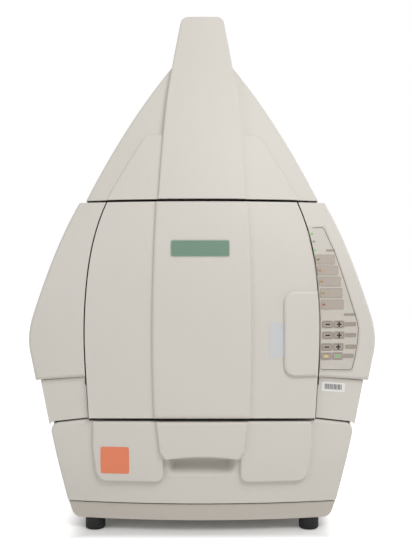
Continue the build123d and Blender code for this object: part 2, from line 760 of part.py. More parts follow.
def tube_places():
    """Places of the tubes along Y."""
    pitch = 2 * GLASS_HALF_Y / TUBE_COUNT
    return [-GLASS_HALF_Y + pitch * (index + 0.5) for index in range(TUBE_COUNT)]


def make_tubes():
    """Lamp tubes with their end caps, held between the housing's walls."""
    reach = HOUSING_HALF_X - PLATE
    tubes = []
    for y in tube_places():
        level = TROUGH_LEVEL + TUBE_RISE
        tube = Pos(0, y, level) * Rot(0, 90, 0) * Cylinder(TUBE_RADIUS, TUBE_LENGTH)
        pins = Pos(0, y, level) * Rot(0, 90, 0) * Cylinder(TUBE_RADIUS / 2, 2 * reach)
        tubes.append(tube + pins)
    return tubes


def make_glass():
    """Filter glass on the housing's lid."""
    return block(-GLASS_HALF_X, GLASS_HALF_X, -GLASS_HALF_Y, GLASS_HALF_Y, HOUSING_TOP, HOUSING_TOP + GLASS_THICK)


def make_plinth():
    """Base moulding: an open tray with a flat floor."""
    half_low = PLINTH_HALF_TOP - PLINTH_TAPER
    face = make_face(
        Polyline(
            (-half_low, FOOT_HEIGHT), (half_low, FOOT_HEIGHT), (PLINTH_HALF_TOP, PLINTH_TOP),
            (-PLINTH_HALF_TOP, PLINTH_TOP), close=True,
        )
    )
    face = fillet(face.vertices().group_by(Axis.Y)[0], PLINTH_CORNER)
    outer = front_body(-PLINTH_SET_BACK, SHELL_BACK) & through(face, FRONT_REACH, SHELL_BACK)
    inner = front_body(-PLINTH_SET_BACK - WALL, SHELL_BACK)
    inner &= block(
        WALL - half_low, half_low - WALL, FRONT_REACH, SHELL_BACK - WALL, FLOOR_TOP, PLINTH_TOP + 1
    )
    return outer - inner


def make_feet():
    """Four rubber feet with rounded treads."""
    feet = []
    for x in (-FOOT_X, FOOT_X):
        for y in (FOOT_FRONT_Y, FOOT_BACK_Y):
            foot = round_post(x, y, 0, FOOT_HEIGHT, FOOT_RADIUS)
            feet.append(fillet(foot.edges().group_by(Axis.Z)[0], FOOT_ROUND))
    return feet


def side_frame(side):
    """Steel side frame with a top flange and two openings."""
    top = UPPER_BOTTOM - SEAT_GAP
    frame = block(FRAME_X, FRAME_X + PLATE, FRAME_FRONT, SHELL_BACK, FLOOR_TOP, top)
    frame += block(FRAME_X - FRAME_FLANGE, FRAME_X + PLATE, FRAME_FRONT + 20, SHELL_BACK, top - PLATE, top)
    for low in FRAME_WINDOWS:
        window = Pos(FRAME_X, 130, low) * Box(20, 50, 80)
        frame -= window
    plinth_wall = SHELL_BACK - WALL - SEAT_GAP
    frame -= block(0, 2 * FRAME_X, plinth_wall, SHELL_BACK + 1, 0, PLINTH_TOP + SEAT_GAP)
    return frame if side > 0 else mirror(frame, about=Plane.YZ)


def make_front_frame():
    """Black front frame round the darkroom opening."""
    frame = block(
        -FRAME_X - PLATE, FRAME_X + PLATE, FRAME_FRONT - PLATE, FRAME_FRONT, FRONT_FRAME_BOTTOM, DOOR_TOP - WALL
    )
    return frame - block(
        -OPENING_HALF_X, OPENING_HALF_X, FRAME_FRONT - PLATE - 1, FRAME_FRONT + 1, OPENING_BOTTOM, OPENING_TOP
    )


def make_liner():
    """Darkroom liner: three walls and a hopper that narrows to the lens."""
    walls = block(-LINER_HALF_X, LINER_HALF_X, FRAME_FRONT, LINER_BACK, LINER_BOTTOM, LINER_TOP)
    walls -= block(
        SHEET - LINER_HALF_X, LINER_HALF_X - SHEET, FRAME_FRONT - 1, LINER_BACK - SHEET, LINER_BOTTOM - 1, LINER_TOP + 1
    )
    middle_y = (FRAME_FRONT + LINER_BACK) / 2
    depth = LINER_BACK - FRAME_FRONT
    wide = Pos(0, middle_y, LINER_TOP) * Rectangle(2 * LINER_HALF_X, depth)
    narrow = Pos(0, 0, DECK_LEVEL) * Rectangle(2 * NECK_HALF_X, 2 * NECK_HALF_Y)
    hopper = loft([wide, narrow])
    wide_in = Pos(0, middle_y, LINER_TOP) * Rectangle(2 * (LINER_HALF_X - SHEET), depth - 2 * SHEET)
    narrow_in = Pos(0, 0, DECK_LEVEL) * Rectangle(2 * (NECK_HALF_X - SHEET), 2 * (NECK_HALF_Y - SHEET))
    return walls + (hopper - loft([wide_in, narrow_in]))


def make_side_lamps():
    """Two lamp bars on the liner's side walls."""
    bars = []
    for side in (-1, 1):
        outer = LINER_HALF_X - SHEET
        profile = make_face(
            Polyline(
                (side * outer, LAMP_LOW), (side * (outer - LAMP_DEPTH), LAMP_LOW + LAMP_DEPTH / 2),
                (side * (outer - LAMP_DEPTH), LAMP_LOW + LAMP_RISE), (side * outer, LAMP_LOW + LAMP_RISE), close=True,
            )
        )
        bars.append(through(profile, -80, 80))
    return bars


def arch_outline(shift):
    """Arch of the upper shell, shrunk by shift."""
    foot = (ARCH_BOTTOM_HALF - shift, UPPER_BOTTOM + shift)
    middle = (ARCH_MIDDLE[0] - shift, ARCH_MIDDLE[1])
    shoulder = (ARCH_TOP[0] - shift, ARCH_TOP[1])
    crown = (0, ARCH_CROWN - shift)
    rim = Line((0, foot[1]), foot) + ThreePointArc(foot, middle, shoulder) + Line(shoulder, crown)
    return both_sides(rim)


def arch_body(forward, shift, back):
    """Arch made solid behind its set-back front surface."""
    return front_body(forward, back) & through(arch_outline(shift), FRONT_REACH, back)


def make_upper_shell():
    """Arched upper shell with a floor flange and a window for the camera."""
    outer = arch_body(-ARCH_SET_BACK, 0, SHELL_BACK)
    rim = outer.faces().sort_by(Axis.Y)[0].edges()
    sides = [edge for edge in rim if abs(edge.center().X) > CROWN_HALF and edge.center().Z > UPPER_BOTTOM + 2]
    outer = fillet(sides, EDGE_ROUND)
    inner = arch_body(-ARCH_SET_BACK - WALL, WALL, SHELL_BACK + 1)
    shell = outer - inner
    shell -= block(
        FRAME_FLANGE - FRAME_X, FRAME_X - FRAME_FLANGE, FRAME_FRONT + FRAME_FLANGE - 2, SHELL_BACK + 1, UPPER_BOTTOM - 1,
        UPPER_BOTTOM + WALL + 1,
    )
    window = block(-WINDOW_HALF_X, WINDOW_HALF_X, FRONT_REACH, 40, WINDOW_LOW, WINDOW_HIGH)
    return shell - window


def tower_outline(shift):
    """Tower outline in the front view, shrunk by shift, with rounded top corners."""
    side = [(x - shift, z) for x, z in TOWER_POINTS]
    top = TOTAL_HEIGHT - shift
    side[-1] = (side[-1][0], top)
    low = (0, side[0][1])
    face = both_sides(Line(low, side[0]) + Spline(*side) + Line(side[-1], (0, top)))
    return fillet(face.vertices().group_by(Axis.Y)[-1], TOWER_CORNER - shift)


def shoulder_outline(shift):
    """Outline of both shoulder pads together, shrunk by shift."""
    top = SHOULDER_TOP - shift
    foot = (SHOULDER_FOOT - shift, UPPER_BOTTOM + shift)
    corner = (SHOULDER_CORNER[0] - shift, SHOULDER_CORNER[1] - shift)
    rim = Line((0, top), (corner[0] - SHOULDER_EASE, top))
    rim += Line((corner[0] - SHOULDER_EASE, top), corner)
    rim += ThreePointArc(corner, (SHOULDER_SIDE[0] - shift, SHOULDER_SIDE[1]), foot)
    return both_sides(rim + Line(foot, (0, foot[1])))


def make_tower_cover():
    """Front moulding of the tower with its two shoulders."""
    above_seam = Pos(0, UPPER_BOTTOM + CUT_HALF) * Rectangle(2 * CUT_HALF, 2 * CUT_HALF)
    tower = front_body(BAND_RAISE, SHELL_BACK) & through(tower_outline(0) & above_seam, FRONT_REACH, SHELL_BACK)
    rim = tower.faces().sort_by(Axis.Y)[0].edges()
    tower = fillet([edge for edge in rim if edge.center().Z > UPPER_BOTTOM + 2], TOWER_EDGE)
    pads = front_body(0, SHELL_BACK) & through(shoulder_outline(0), FRONT_REACH, SHELL_BACK)
    pad_rim = pads.faces().sort_by(Axis.Y)[0].edges()
    pads = fillet([edge for edge in pad_rim if edge.center().Z > UPPER_BOTTOM + 2], PAD_ROUND)
    tower_in = front_body(BAND_RAISE - WALL, SHELL_BACK + 1)
    tower_in &= through(tower_outline(WALL), FRONT_REACH, SHELL_BACK + 1)
    pads_in = front_body(-WALL, SHELL_BACK + 1) & through(shoulder_outline(WALL), FRONT_REACH, SHELL_BACK + 1)
    return tower + pads - tower_in - pads_in - arch_body(-ARCH_SET_BACK + SEAT_GAP, -SEAT_GAP, SHELL_BACK + 2)


def make_rear_panel():
    """Flat rear panel with vents, a fan opening and a socket opening."""
    half = Polyline(
        (0, PLINTH_TOP - 20), (PLINTH_HALF_TOP - 8, PLINTH_TOP - 20), (LOWER_HALF_BOTTOM, PLINTH_TOP + 4),
        (LOWER_HALF_TOP - 3, CHEEK_BOTTOM_OUTER), (CHEEK_CORNER_X - 1, CHEEK_BOTTOM_OUTER + 4),
        (CHEEK_POINTS[-2][0] - 2, CHEEK_POINTS[-2][1]), (CHEEK_POINTS[2][0] - 2, CHEEK_POINTS[2][1]),
        (CHEEK_POINTS[0][0] - 3, DOOR_TOP), (ARCH_BOTTOM_HALF - 2, UPPER_BOTTOM),
        (ARCH_TOP[0] + 1, ARCH_TOP[1] - 4), (TOWER_POINTS[-1][0], TOTAL_HEIGHT - 12), (0, TOTAL_HEIGHT - 12),
    )
    panel = through(both_sides(half), SHELL_BACK, SHELL_BACK + REAR_PLATE)
    panel -= depth_post(FAN_X, FAN_Z, SHELL_BACK - 1, SHELL_BACK + REAR_PLATE + 1, FAN_RADIUS)
    panel -= block(
        SOCKET_X - SOCKET_HALF_X, SOCKET_X + SOCKET_HALF_X, SHELL_BACK - 1, SHELL_BACK + REAR_PLATE + 1,
        SOCKET_Z - SOCKET_HALF_Z, SOCKET_Z + SOCKET_HALF_Z,
    )
    for index in range(VENT_COUNT):
        level = VENT_LOW + VENT_PITCH * index
        for x in (-VENT_X, VENT_X):
            slot = Pos(x, level) * SlotOverall(VENT_LENGTH, VENT_WIDTH)
            panel -= through(slot, SHELL_BACK - 1, SHELL_BACK + REAR_PLATE + 1)
    return panel


def make_camera_bracket():
    """Deck on the hopper, back plate for the camera, motor shelf and the filter guide."""
    deck = block(-DECK_HALF_X, DECK_HALF_X, -NECK_HALF_Y - 8, BACK_PLATE_Y + 20, DECK_LEVEL, DECK_LEVEL + PLATE)
    deck -= block(-WINDOW_SMALL, WINDOW_SMALL, -WINDOW_SMALL, WINDOW_SMALL, DECK_LEVEL - 1, DECK_LEVEL + 3)
    top = CAMERA_BOTTOM + CAMERA_HEIGHT - PLATE
    deck += block(-34, 34, BACK_PLATE_Y, BACK_PLATE_Y + PLATE, DECK_LEVEL, top)
    deck += block(-54, 54, -12, BACK_PLATE_Y + PLATE, MOTOR_PLATE_LEVEL, MOTOR_PLATE_LEVEL + PLATE)
    deck -= round_post(0, 0, MOTOR_PLATE_LEVEL - 1, MOTOR_PLATE_LEVEL + 3, BARREL_RADIUS + SEAT_GAP)
    for name, level, angle in RING_LEVELS:
        x, y = pinion_place(angle)
        deck -= round_post(x, y, MOTOR_PLATE_LEVEL - 1, MOTOR_PLATE_LEVEL + 3, SHAFT_RADIUS + 1)
    for y in (-SLIDE_HALF_Y - GUIDE_WALL - SEAT_GAP, SLIDE_HALF_Y + SEAT_GAP):
        deck += block(-DECK_HALF_X, DECK_HALF_X, y, y + GUIDE_WALL, DECK_LEVEL, SLIDE_LEVEL + SLIDE_THICK + SEAT_GAP)
    for y in (-SLIDE_HALF_Y + GUIDE_LIP / 2, SLIDE_HALF_Y - GUIDE_LIP / 2):
        shelf = block(
            -DECK_HALF_X, DECK_HALF_X, y - GUIDE_LIP / 2 - 2, y + GUIDE_LIP / 2 + 2, DECK_LEVEL + PLATE,
            SLIDE_LEVEL - SEAT_GAP,
        )
        deck += shelf
    return deck


def pinion_place(angle):
    """Place of a pinion round the lens axis."""
    distance = RING_RADIUS + PINION_RADIUS + MESH_GAP
    return distance * cos(radians(angle)), distance * sin(radians(angle))


def make_slide():
    """Filter slide with two round openings and a pull tab."""
    slide = block(
        -SLIDE_REACH_LEFT, SLIDE_REACH_RIGHT, -SLIDE_HALF_Y, SLIDE_HALF_Y, SLIDE_LEVEL, SLIDE_LEVEL + SLIDE_THICK
    )
    for x in (0, -FILTER_PITCH):
        slide -= round_post(x, 0, SLIDE_LEVEL - 1, SLIDE_LEVEL + SLIDE_THICK + 1, FILTER_RADIUS)
        slide += round_post(x, 0, SLIDE_LEVEL + 1, SLIDE_LEVEL + SLIDE_THICK - 1, FILTER_RADIUS)
    return slide


def make_barrel():
    """Lens barrel: a stepped core with the front mount and the camera mount."""
    barrel = round_post(0, 0, 668, CAMERA_BOTTOM, BARREL_RADIUS)
    barrel += round_post(0, 0, 664, 684, RING_RADIUS - 4)
    return barrel - round_post(0, 0, 660, 676, BARREL_RADIUS - 4)


def make_ring(level):
    """Control ring of the lens, free to turn on the barrel."""
    ring = round_post(0, 0, level, level + RING_HEIGHT, RING_RADIUS)
    return ring - round_post(0, 0, level - 1, level + RING_HEIGHT + 1, BARREL_RADIUS + PIN_CLEARANCE)


def make_pinion(level, angle):
    """Pinion on its motor shaft."""
    x, y = pinion_place(angle)
    gear = round_post(x, y, level, level + RING_HEIGHT, PINION_RADIUS)
    return gear + round_post(x, y, level, MOTOR_PLATE_LEVEL + PLATE + MOTOR_BORE, SHAFT_RADIUS)


def make_motors():
    """Three small gear motors on the shelf."""
    motors = []
    low = MOTOR_PLATE_LEVEL + PLATE
    for name, level, angle in RING_LEVELS:
        x, y = pinion_place(angle)
        motor = round_post(x, y, low, low + MOTOR_HEIGHT, MOTOR_RADIUS)
        motor -= round_post(x, y, low - 1, low + MOTOR_BORE + SEAT_GAP, SHAFT_RADIUS + PIN_CLEARANCE)
        motors.append(motor)
    return motors


def make_camera():
    """Camera body on the back plate, above the lens."""
    body = block(
        -CAMERA_HALF, CAMERA_HALF, -CAMERA_HALF, BACK_PLATE_Y, CAMERA_BOTTOM + MOTOR_CLEAR, CAMERA_BOTTOM + CAMERA_HEIGHT
    )
    body = chamfer(body.edges().filter_by(Axis.Z), 3)
    return body + round_post(0, 0, CAMERA_BOTTOM, CAMERA_BOTTOM + MOTOR_CLEAR, CAMERA_HALF - 6)


def make_power_supply():
    """Power supply case on the plinth floor behind the drawer."""
    return block(-70, 40, TRAY_BACK + 12, SHELL_BACK - 8, FLOOR_TOP, FLOOR_TOP + 110)


def make_fan_frame():
    """Square fan frame with a round duct and a hub on three arms."""
    half = FAN_SIZE / 2
    back = SHELL_BACK
    frame = block(FAN_X - half, FAN_X + half, back - FAN_DEPTH, back, FAN_Z - half, FAN_Z + half)
    frame -= depth_post(FAN_X, FAN_Z, back - FAN_DEPTH - 1, back + 1, FAN_RADIUS)
    frame += depth_post(FAN_X, FAN_Z, back - 4, back, FAN_HUB)
    for index in range(3):
        arm = Pos(FAN_X, back - 2, FAN_Z) * Rot(0, 120 * index, 0) * Pos(FAN_RADIUS / 2, 0, 0) * Box(FAN_RADIUS + 2, 4, 4)
        frame += arm
    return frame + depth_post(FAN_X, FAN_Z, back - FAN_DEPTH + 4, back, FAN_SHAFT)


def make_fan_rotor():
    """Fan rotor: a hub with pitched blades on the frame's shaft."""
    back = SHELL_BACK - 5
    front = SHELL_BACK - FAN_DEPTH + 2
    rotor = depth_post(FAN_X, FAN_Z, front, back, FAN_HUB)
    middle = (front + back) / 2
    for index in range(FAN_BLADES):
        blade = Pos(FAN_X, middle, FAN_Z) * Rot(0, 360 / FAN_BLADES * index, 0) * Pos((FAN_HUB + FAN_RADIUS) / 2 - 2, 0, 0)
        rotor += blade * Rot(35, 0, 0) * Box(FAN_RADIUS - FAN_HUB + 1, 1.5, 18)
    return rotor - depth_post(FAN_X, FAN_Z, front - 1, back + 1, FAN_SHAFT + PIN_CLEARANCE)


def make_sockets():
    """Rear socket block: mains inlet, switch well and two data sockets."""
    back = SHELL_BACK + REAR_PLATE
    body = block(
        SOCKET_X - SOCKET_HALF_X + SEAT_GAP, SOCKET_X + SOCKET_HALF_X - SEAT_GAP, SHELL_BACK - 30, back,
        SOCKET_Z - SOCKET_HALF_Z + SEAT_GAP, SOCKET_Z + SOCKET_HALF_Z - SEAT_GAP,
    )
    body -= block(SOCKET_X - 26, SOCKET_X - 2, back - 16, back + 1, SOCKET_Z - 10, SOCKET_Z + 10)
    for x in (SOCKET_X - 20, SOCKET_X - 14, SOCKET_X - 8):
        body += block(x - 1, x + 1, back - 17, back - 4, SOCKET_Z - 3, SOCKET_Z + 3)
    body -= block(
        ROCKER_X - ROCKER_HALF - WELL_GAP, ROCKER_X + ROCKER_HALF + WELL_GAP, back - 14, back + 1,
        SOCKET_Z - 12, SOCKET_Z + 12,
    )
    body -= rocker_pin(PIN_CLEARANCE)
    body -= block(SOCKET_X + 24, SOCKET_X + 36, back - 10, back + 1, SOCKET_Z + 2, SOCKET_Z + 12)
    body -= block(SOCKET_X + 24, SOCKET_X + 36, back - 10, back + 1, SOCKET_Z - 12, SOCKET_Z - 2)
    return body


def rocker_pin(grow):
    """Pivot pin of the power rocker, or its bore when grown."""
    place = Pos(ROCKER_X, SHELL_BACK + REAR_PLATE - ROCKER_PIN_DEPTH, SOCKET_Z)
    reach = ROCKER_HALF + WELL_GAP + ROCKER_PIN_END + grow
    return place * Rot(0, 90, 0) * Cylinder(ROCKER_PIN_RADIUS + grow, 2 * reach)


def make_rocker():
    """Power rocker with its pivot pin, resting in the off position."""
    back = SHELL_BACK + REAR_PLATE
    face = make_face(
        Polyline(
            (back - 3, SOCKET_Z - 10), (back - 1.4, SOCKET_Z - 10), (back - 3.2, SOCKET_Z), (back - 1.4, SOCKET_Z + 10),
            (back - 3, SOCKET_Z + 10), (back - 9, SOCKET_Z + 3), (back - 9, SOCKET_Z - 3), close=True,
        )
    )
    level_rocker = extrude(Plane.YZ.offset(ROCKER_X - ROCKER_HALF) * face, amount=2 * ROCKER_HALF)
    pivot = Axis((ROCKER_X, back - ROCKER_PIN_DEPTH, SOCKET_Z), (1, 0, 0))
    return level_rocker.rotate(pivot, -ROCKER_TILT) + rocker_pin(0)


def wide_key(place, grow, front, back):
    """Wide key, or the hole for it when grown."""
    x, z, width = place
    outline = round_rect(x, z, width + 2 * grow, WIDE_KEY_HEIGHT + 2 * grow, 2.0)
    return sheet(outline, front, front - back)


def small_key_places():
    """Names and places of the small keys."""
    places = []
    for name, x, z in SMALL_KEY_ROWS:
        places.append((name + "_minus_key", x, z))
        places.append((name + "_plus_key", x + SMALL_KEY_PITCH, z))
    return places


def small_key(x, z, grow, front, back):
    """Small key, or the hole for it when grown."""
    outline = round_rect(x, z, SMALL_KEY_WIDTH + 2 * grow, SMALL_KEY_HEIGHT + 2 * grow, 2.5)
    return sheet(outline, front, front - back)


def key_holes(shape):
    """Cut every key hole and light hole through a sheet."""
    for place in WIDE_KEYS:
        x, z, width = place
        hole = round_rect(x, z, width + 2 * KEY_CLEARANCE, WIDE_KEY_HEIGHT + 2 * KEY_CLEARANCE, 2.0)
        shape -= through(hole, FRONT_REACH, HOLE_BACK)
    for name, x, z in small_key_places():
        hole = round_rect(x, z, SMALL_KEY_WIDTH + 2 * KEY_CLEARANCE, SMALL_KEY_HEIGHT + 2 * KEY_CLEARANCE, 2.5)
        shape -= through(hole, FRONT_REACH, HOLE_BACK)
    for x, z in LIGHTS:
        shape -= depth_post(x, z, FRONT_REACH, HOLE_BACK, LIGHT_RADIUS)
    return shape


def overlay_outline(inset):
    """Outline of the panel overlay between the seam and the cheek's edge, shrunk by inset."""
    outer = [(x - inset, z) for x, z in PANEL_OUTER]
    outer[0] = (outer[0][0], outer[0][1] + inset)
    outer[-1] = (outer[-1][0], outer[-1][1] - inset)
    top = (PANEL_INNER_X, PANEL_TOP - inset)
    bottom = (PANEL_INNER_X, PANEL_BOTTOM + inset)
    face = make_face(Spline(*outer) + Polyline(outer[-1], top, bottom, outer[0]))
    return face - door_outline(PANEL_MARGIN + inset)


def make_overlay():
    """Thin overlay that lies on the right cheek round the keys."""
    return key_holes(sheet(overlay_outline(0), OVERLAY_THICK, OVERLAY_THICK))


def make_board():
    """Key board behind the cheek wall, on its studs."""
    board = sheet(overlay_outline(BOARD_INSET), -BOARD_DEPTH, BOARD_THICK)
    return board


def add_studs(cheek):
    """Studs on the inside of the right cheek that carry the key board."""
    for x, z in STUDS:
        post = depth_post(x, z, FRONT_REACH, HOLE_BACK, STUD_RADIUS) & front_body(-WALL / 2, SHELL_BACK)
        cheek += post - front_body(-BOARD_DEPTH, SHELL_BACK)
    return cheek


def make_lights():
    """Three round status lights on the key board."""
    lights = []
    for x, z in LIGHTS:
        post = depth_post(x, z, FRONT_REACH, HOLE_BACK, LIGHT_RADIUS) & front_body(LIGHT_STAND, SHELL_BACK)
        lights.append(post - front_body(-BOARD_DEPTH, SHELL_BACK))
    return lights


def as_group(solids):
    """Several separate solids kept together in one node."""
    return Compound([solid for shape in solids for solid in Part(shape.wrapped).solids()])


def build_all():
    """Every node by name."""
    nodes = {}
    nodes["base_plinth"] = make_plinth()
    nodes["rubber_feet"] = as_group(make_feet())
    nodes["side_frames"] = as_group([side_frame(-1), side_frame(1)])
    left_low, right_low = make_lower_shells()
    nodes["left_side_shell"] = left_low
    nodes["right_side_shell"] = right_low
    nodes["rear_panel"] = make_rear_panel()
    nodes["upper_shell"] = make_upper_shell()
    nodes["tower_cover"] = make_tower_cover()
    left_cheek, right_cheek = make_cheeks()
    nodes["left_cheek"] = left_cheek
    nodes["right_cheek"] = add_studs(key_holes(right_cheek))
    nodes["panel_overlay"] = make_overlay()
    nodes["status_lights"] = as_group(make_lights())
    nodes["key_board"] = make_board()
    nodes["front_frame"] = make_front_frame()
    nodes["darkroom_liner"] = make_liner()
    nodes["side_lamps"] = as_group(make_side_lamps())
    nodes["hinge_brackets"] = as_group([hinge_bracket(level) for level in HINGE_LEVELS])
    nodes["catch_magnets"] = as_group(make_magnets())
    nodes["camera_bracket"] = make_camera_bracket()
    nodes["camera_body"] = make_camera()
    nodes["lens_barrel"] = make_barrel()
    nodes["lens_motors"] = as_group(make_motors())
    nodes["power_supply"] = make_power_supply()
    nodes["fan_frame"] = make_fan_frame()
    nodes["rear_sockets"] = make_sockets()
    nodes["outer_rails"] = as_group([outer_rail(-1), outer_rail(1)])
    nodes["drawer_front"] = make_drawer_front()
    nodes["drawer_tray"] = make_tray()
    nodes["inner_rails"] = as_group([inner_rail(-1), inner_rail(1)])
    nodes["lamp_housing"] = make_lamp_housing()
    nodes["uv_tubes"] = as_group(make_tubes())
    nodes["filter_glass"] = make_glass()
    nodes["door_panel"] = make_door()
    nodes["door_liner"] = make_door_liner()
    nodes["door_seal"] = make_seal()
    nodes["hinge_arms"] = as_group([hinge_arm(level) for level in HINGE_LEVELS])
    nodes["strike_plates"] = as_group(make_strikes())
    nodes["filter_slide"] = make_slide()
    for name, level, angle in RING_LEVELS:
        nodes[name + "_ring"] = make_ring(level)
        nodes[name + "_pinion"] = make_pinion(level, angle)
    nodes["fan_rotor"] = make_fan_rotor()
    nodes["power_rocker"] = make_rocker()
    for index, place in enumerate(WIDE_KEYS):
        nodes["wide_key_" + str(index + 1)] = wide_key(place, 0, KEY_STAND, KEY_BACK)
    for name, x, z in small_key_places():
        nodes[name] = small_key(x, z, 0, KEY_STAND, KEY_BACK)
    return nodes


os.makedirs("parts", exist_ok=True)
for node_name, node_shape in build_all().items():
    export_step(node_shape, "parts/" + node_name + ".step")
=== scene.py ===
"""Looks of the gel documentation system: finishes, printed marks, lamps, screws and the studio round it."""

import bmesh
import bpy
from collections import namedtuple
from math import cos, pi, radians, sin, sqrt
from mathutils import Euler, Matrix, Vector
from mathutils.bvhtree import BVHTree


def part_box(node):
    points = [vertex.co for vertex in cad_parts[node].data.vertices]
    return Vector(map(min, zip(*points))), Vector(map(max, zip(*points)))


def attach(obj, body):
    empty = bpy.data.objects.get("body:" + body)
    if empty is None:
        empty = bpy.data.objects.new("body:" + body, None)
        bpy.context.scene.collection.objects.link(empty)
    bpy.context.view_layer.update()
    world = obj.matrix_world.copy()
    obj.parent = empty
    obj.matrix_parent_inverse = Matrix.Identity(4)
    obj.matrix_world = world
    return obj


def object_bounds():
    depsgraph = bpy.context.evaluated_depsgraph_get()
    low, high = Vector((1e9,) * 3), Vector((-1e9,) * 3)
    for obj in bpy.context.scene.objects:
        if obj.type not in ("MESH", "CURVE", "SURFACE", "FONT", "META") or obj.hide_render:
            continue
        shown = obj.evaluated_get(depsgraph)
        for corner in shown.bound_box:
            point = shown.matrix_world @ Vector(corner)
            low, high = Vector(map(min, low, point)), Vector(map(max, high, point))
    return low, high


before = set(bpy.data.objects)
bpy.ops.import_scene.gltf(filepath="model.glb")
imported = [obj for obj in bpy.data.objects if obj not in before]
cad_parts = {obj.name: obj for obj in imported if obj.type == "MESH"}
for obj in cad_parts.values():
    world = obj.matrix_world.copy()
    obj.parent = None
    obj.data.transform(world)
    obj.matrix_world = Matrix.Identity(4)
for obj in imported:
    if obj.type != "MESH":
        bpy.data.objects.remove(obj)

START_LOW, START_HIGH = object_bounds()
ROOT = "cabinet"
CAD_NAMES = list(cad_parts)

# Finishes
COVER_ROUGH = 0.55
COVER_SPREAD = 0.04
GRAIN_SCALE = 900.0
GRAIN_DEPTH = 0.00003
GRAIN_DETAIL = 2.0
GRAIN_STRENGTH = 0.35
BRUSH_STRETCH = (30.0, 900.0, 900.0)
BRUSH_SPREAD = 0.08
GLASS_INDEX = 1.5
WHITE = (1.0, 1.0, 1.0, 1.0)


def srgb(red, green, blue):
    """Linear colour from the usual 0 to 255 numbers."""
    channels = []
    for value in (red, green, blue):
        level = value / 255
        channels.append(level / 12.92 if level <= 0.04045 else ((level + 0.055) / 1.055) ** 2.4)
    return (*channels, 1.0)


def finish(name, colour, roughness, metallic=0.0, coat=0.0):
    """Plain finish with its values on the shader's own sockets."""
    material = bpy.data.materials.new(name)
    material.use_nodes = True
    shader = material.node_tree.nodes["Principled BSDF"]
    shader.inputs["Base Color"].default_value = colour
    shader.inputs["Roughness"].default_value = roughness
    shader.inputs["Metallic"].default_value = metallic
    shader.inputs["Coat Weight"].default_value = coat
    return material


def vary_gloss(material, noise, spread):
    """Let a noise move the roughness up and down by a small amount."""
    nodes = material.node_tree.nodes
    links = material.node_tree.links
    roughness = nodes["Principled BSDF"].inputs["Roughness"]
    gloss = nodes.new("ShaderNodeMapRange")
    gloss.inputs["To Min"].default_value = roughness.default_value - spread
    gloss.inputs["To Max"].default_value = roughness.default_value + spread
    links.new(noise.outputs["Fac"], gloss.inputs["Value"])
    links.new(gloss.outputs["Result"], roughness)


def grained(name, colour, roughness, scale=GRAIN_SCALE, depth=GRAIN_DEPTH, spread=0.0):
    """Finish with a fine moulded or sprayed grain, and a slight spread of its gloss."""
    material = finish(name, colour, roughness)
    nodes = material.node_tree.nodes
    links = material.node_tree.links
    place = nodes.new("ShaderNodeTexCoord")
    noise = nodes.new("ShaderNodeTexNoise")
    noise.inputs["Scale"].default_value = scale
    noise.inputs["Detail"].default_value = GRAIN_DETAIL
    links.new(place.outputs["Object"], noise.inputs["Vector"])
    bump = nodes.new("ShaderNodeBump")
    bump.inputs["Strength"].default_value = GRAIN_STRENGTH
    bump.inputs["Distance"].default_value = depth
    links.new(noise.outputs["Fac"], bump.inputs["Height"])
    links.new(bump.outputs["Normal"], nodes["Principled BSDF"].inputs["Normal"])
    if spread:
        vary_gloss(material, noise, spread)
    return material


def brushed(name, colour, roughness):
    """Plated sheet metal with faint drawn lines."""
    material = finish(name, colour, roughness, metallic=1.0)
    nodes = material.node_tree.nodes
    links = material.node_tree.links
    place = nodes.new("ShaderNodeTexCoord")
    stretch = nodes.new("ShaderNodeMapping")
    stretch.inputs["Scale"].default_value = BRUSH_STRETCH
    noise = nodes.new("ShaderNodeTexNoise")
    noise.inputs["Scale"].default_value = 1.0
    links.new(place.outputs["Object"], stretch.inputs["Vector"])
    links.new(stretch.outputs["Vector"], noise.inputs["Vector"])
    vary_gloss(material, noise, BRUSH_SPREAD)
    return material


def coloured_glass(name, colour, roughness):
    """Coloured see-through glass."""
    material = finish(name, colour, roughness)
    shader = material.node_tree.nodes["Principled BSDF"]
    shader.inputs["Transmission Weight"].default_value = 1.0
    shader.inputs["IOR"].default_value = GLASS_INDEX
    return material


def lamp_lens(name, colour, glow=None, strength=0.0):
    """Clear coloured lens of a small lamp, with a light of its own where the lamp is lit."""
    material = finish(name, colour, 0.3, coat=0.5)
    if glow:
        shader = material.node_tree.nodes["Principled BSDF"]
        shader.inputs["Emission Color"].default_value = glow
        shader.inputs["Emission Strength"].default_value = strength
    return material


COVER = grained("moulded_cover", srgb(212, 207, 199), COVER_ROUGH, spread=COVER_SPREAD)
# Plinth's plastic with painted shade in its colour: it is darkened to the shadow under the drawer front's edge
PLINTH_WITH_PAINTED_SHADE = grained("moulded_base_with_painted_shade", srgb(194, 187, 178), COVER_ROUGH, spread=COVER_SPREAD)
REAR_PAINT = grained("rear_panel_paint", srgb(205, 200, 192), 0.5, 500.0, 0.00006, 0.05)
BLACK_POWDER = grained("black_powder_coat", srgb(28, 28, 29), 0.6, 600.0, 0.00005, 0.06)
BLACK_MOULDED = grained("black_moulded_plastic", srgb(26, 26, 27), 0.5, spread=0.05)
FOOT_RUBBER = grained("foot_rubber", srgb(9, 9, 9), 0.8)
SEAL_FOAM = grained("seal_foam", srgb(24, 24, 24), 0.9, 700.0, 0.00012)
ZINC = brushed("zinc_plated_steel", srgb(178, 180, 182), 0.36)
MAGNET_METAL = brushed("plated_magnet", srgb(150, 151, 153), 0.3)
WHITE_ENAMEL = finish("white_enamel", srgb(236, 236, 233), 0.3, coat=0.3)
TUBE_COAT = finish("lamp_tube_coating", srgb(236, 237, 242), 0.25, coat=0.5)
FILTER_GLASS = coloured_glass("violet_filter_glass", srgb(64, 44, 96), 0.02)
ANODISED = brushed("black_anodised", srgb(38, 38, 40), 0.4)
KEY_CAP = grained("key_cap", srgb(178, 167, 156), 0.5, spread=0.04)
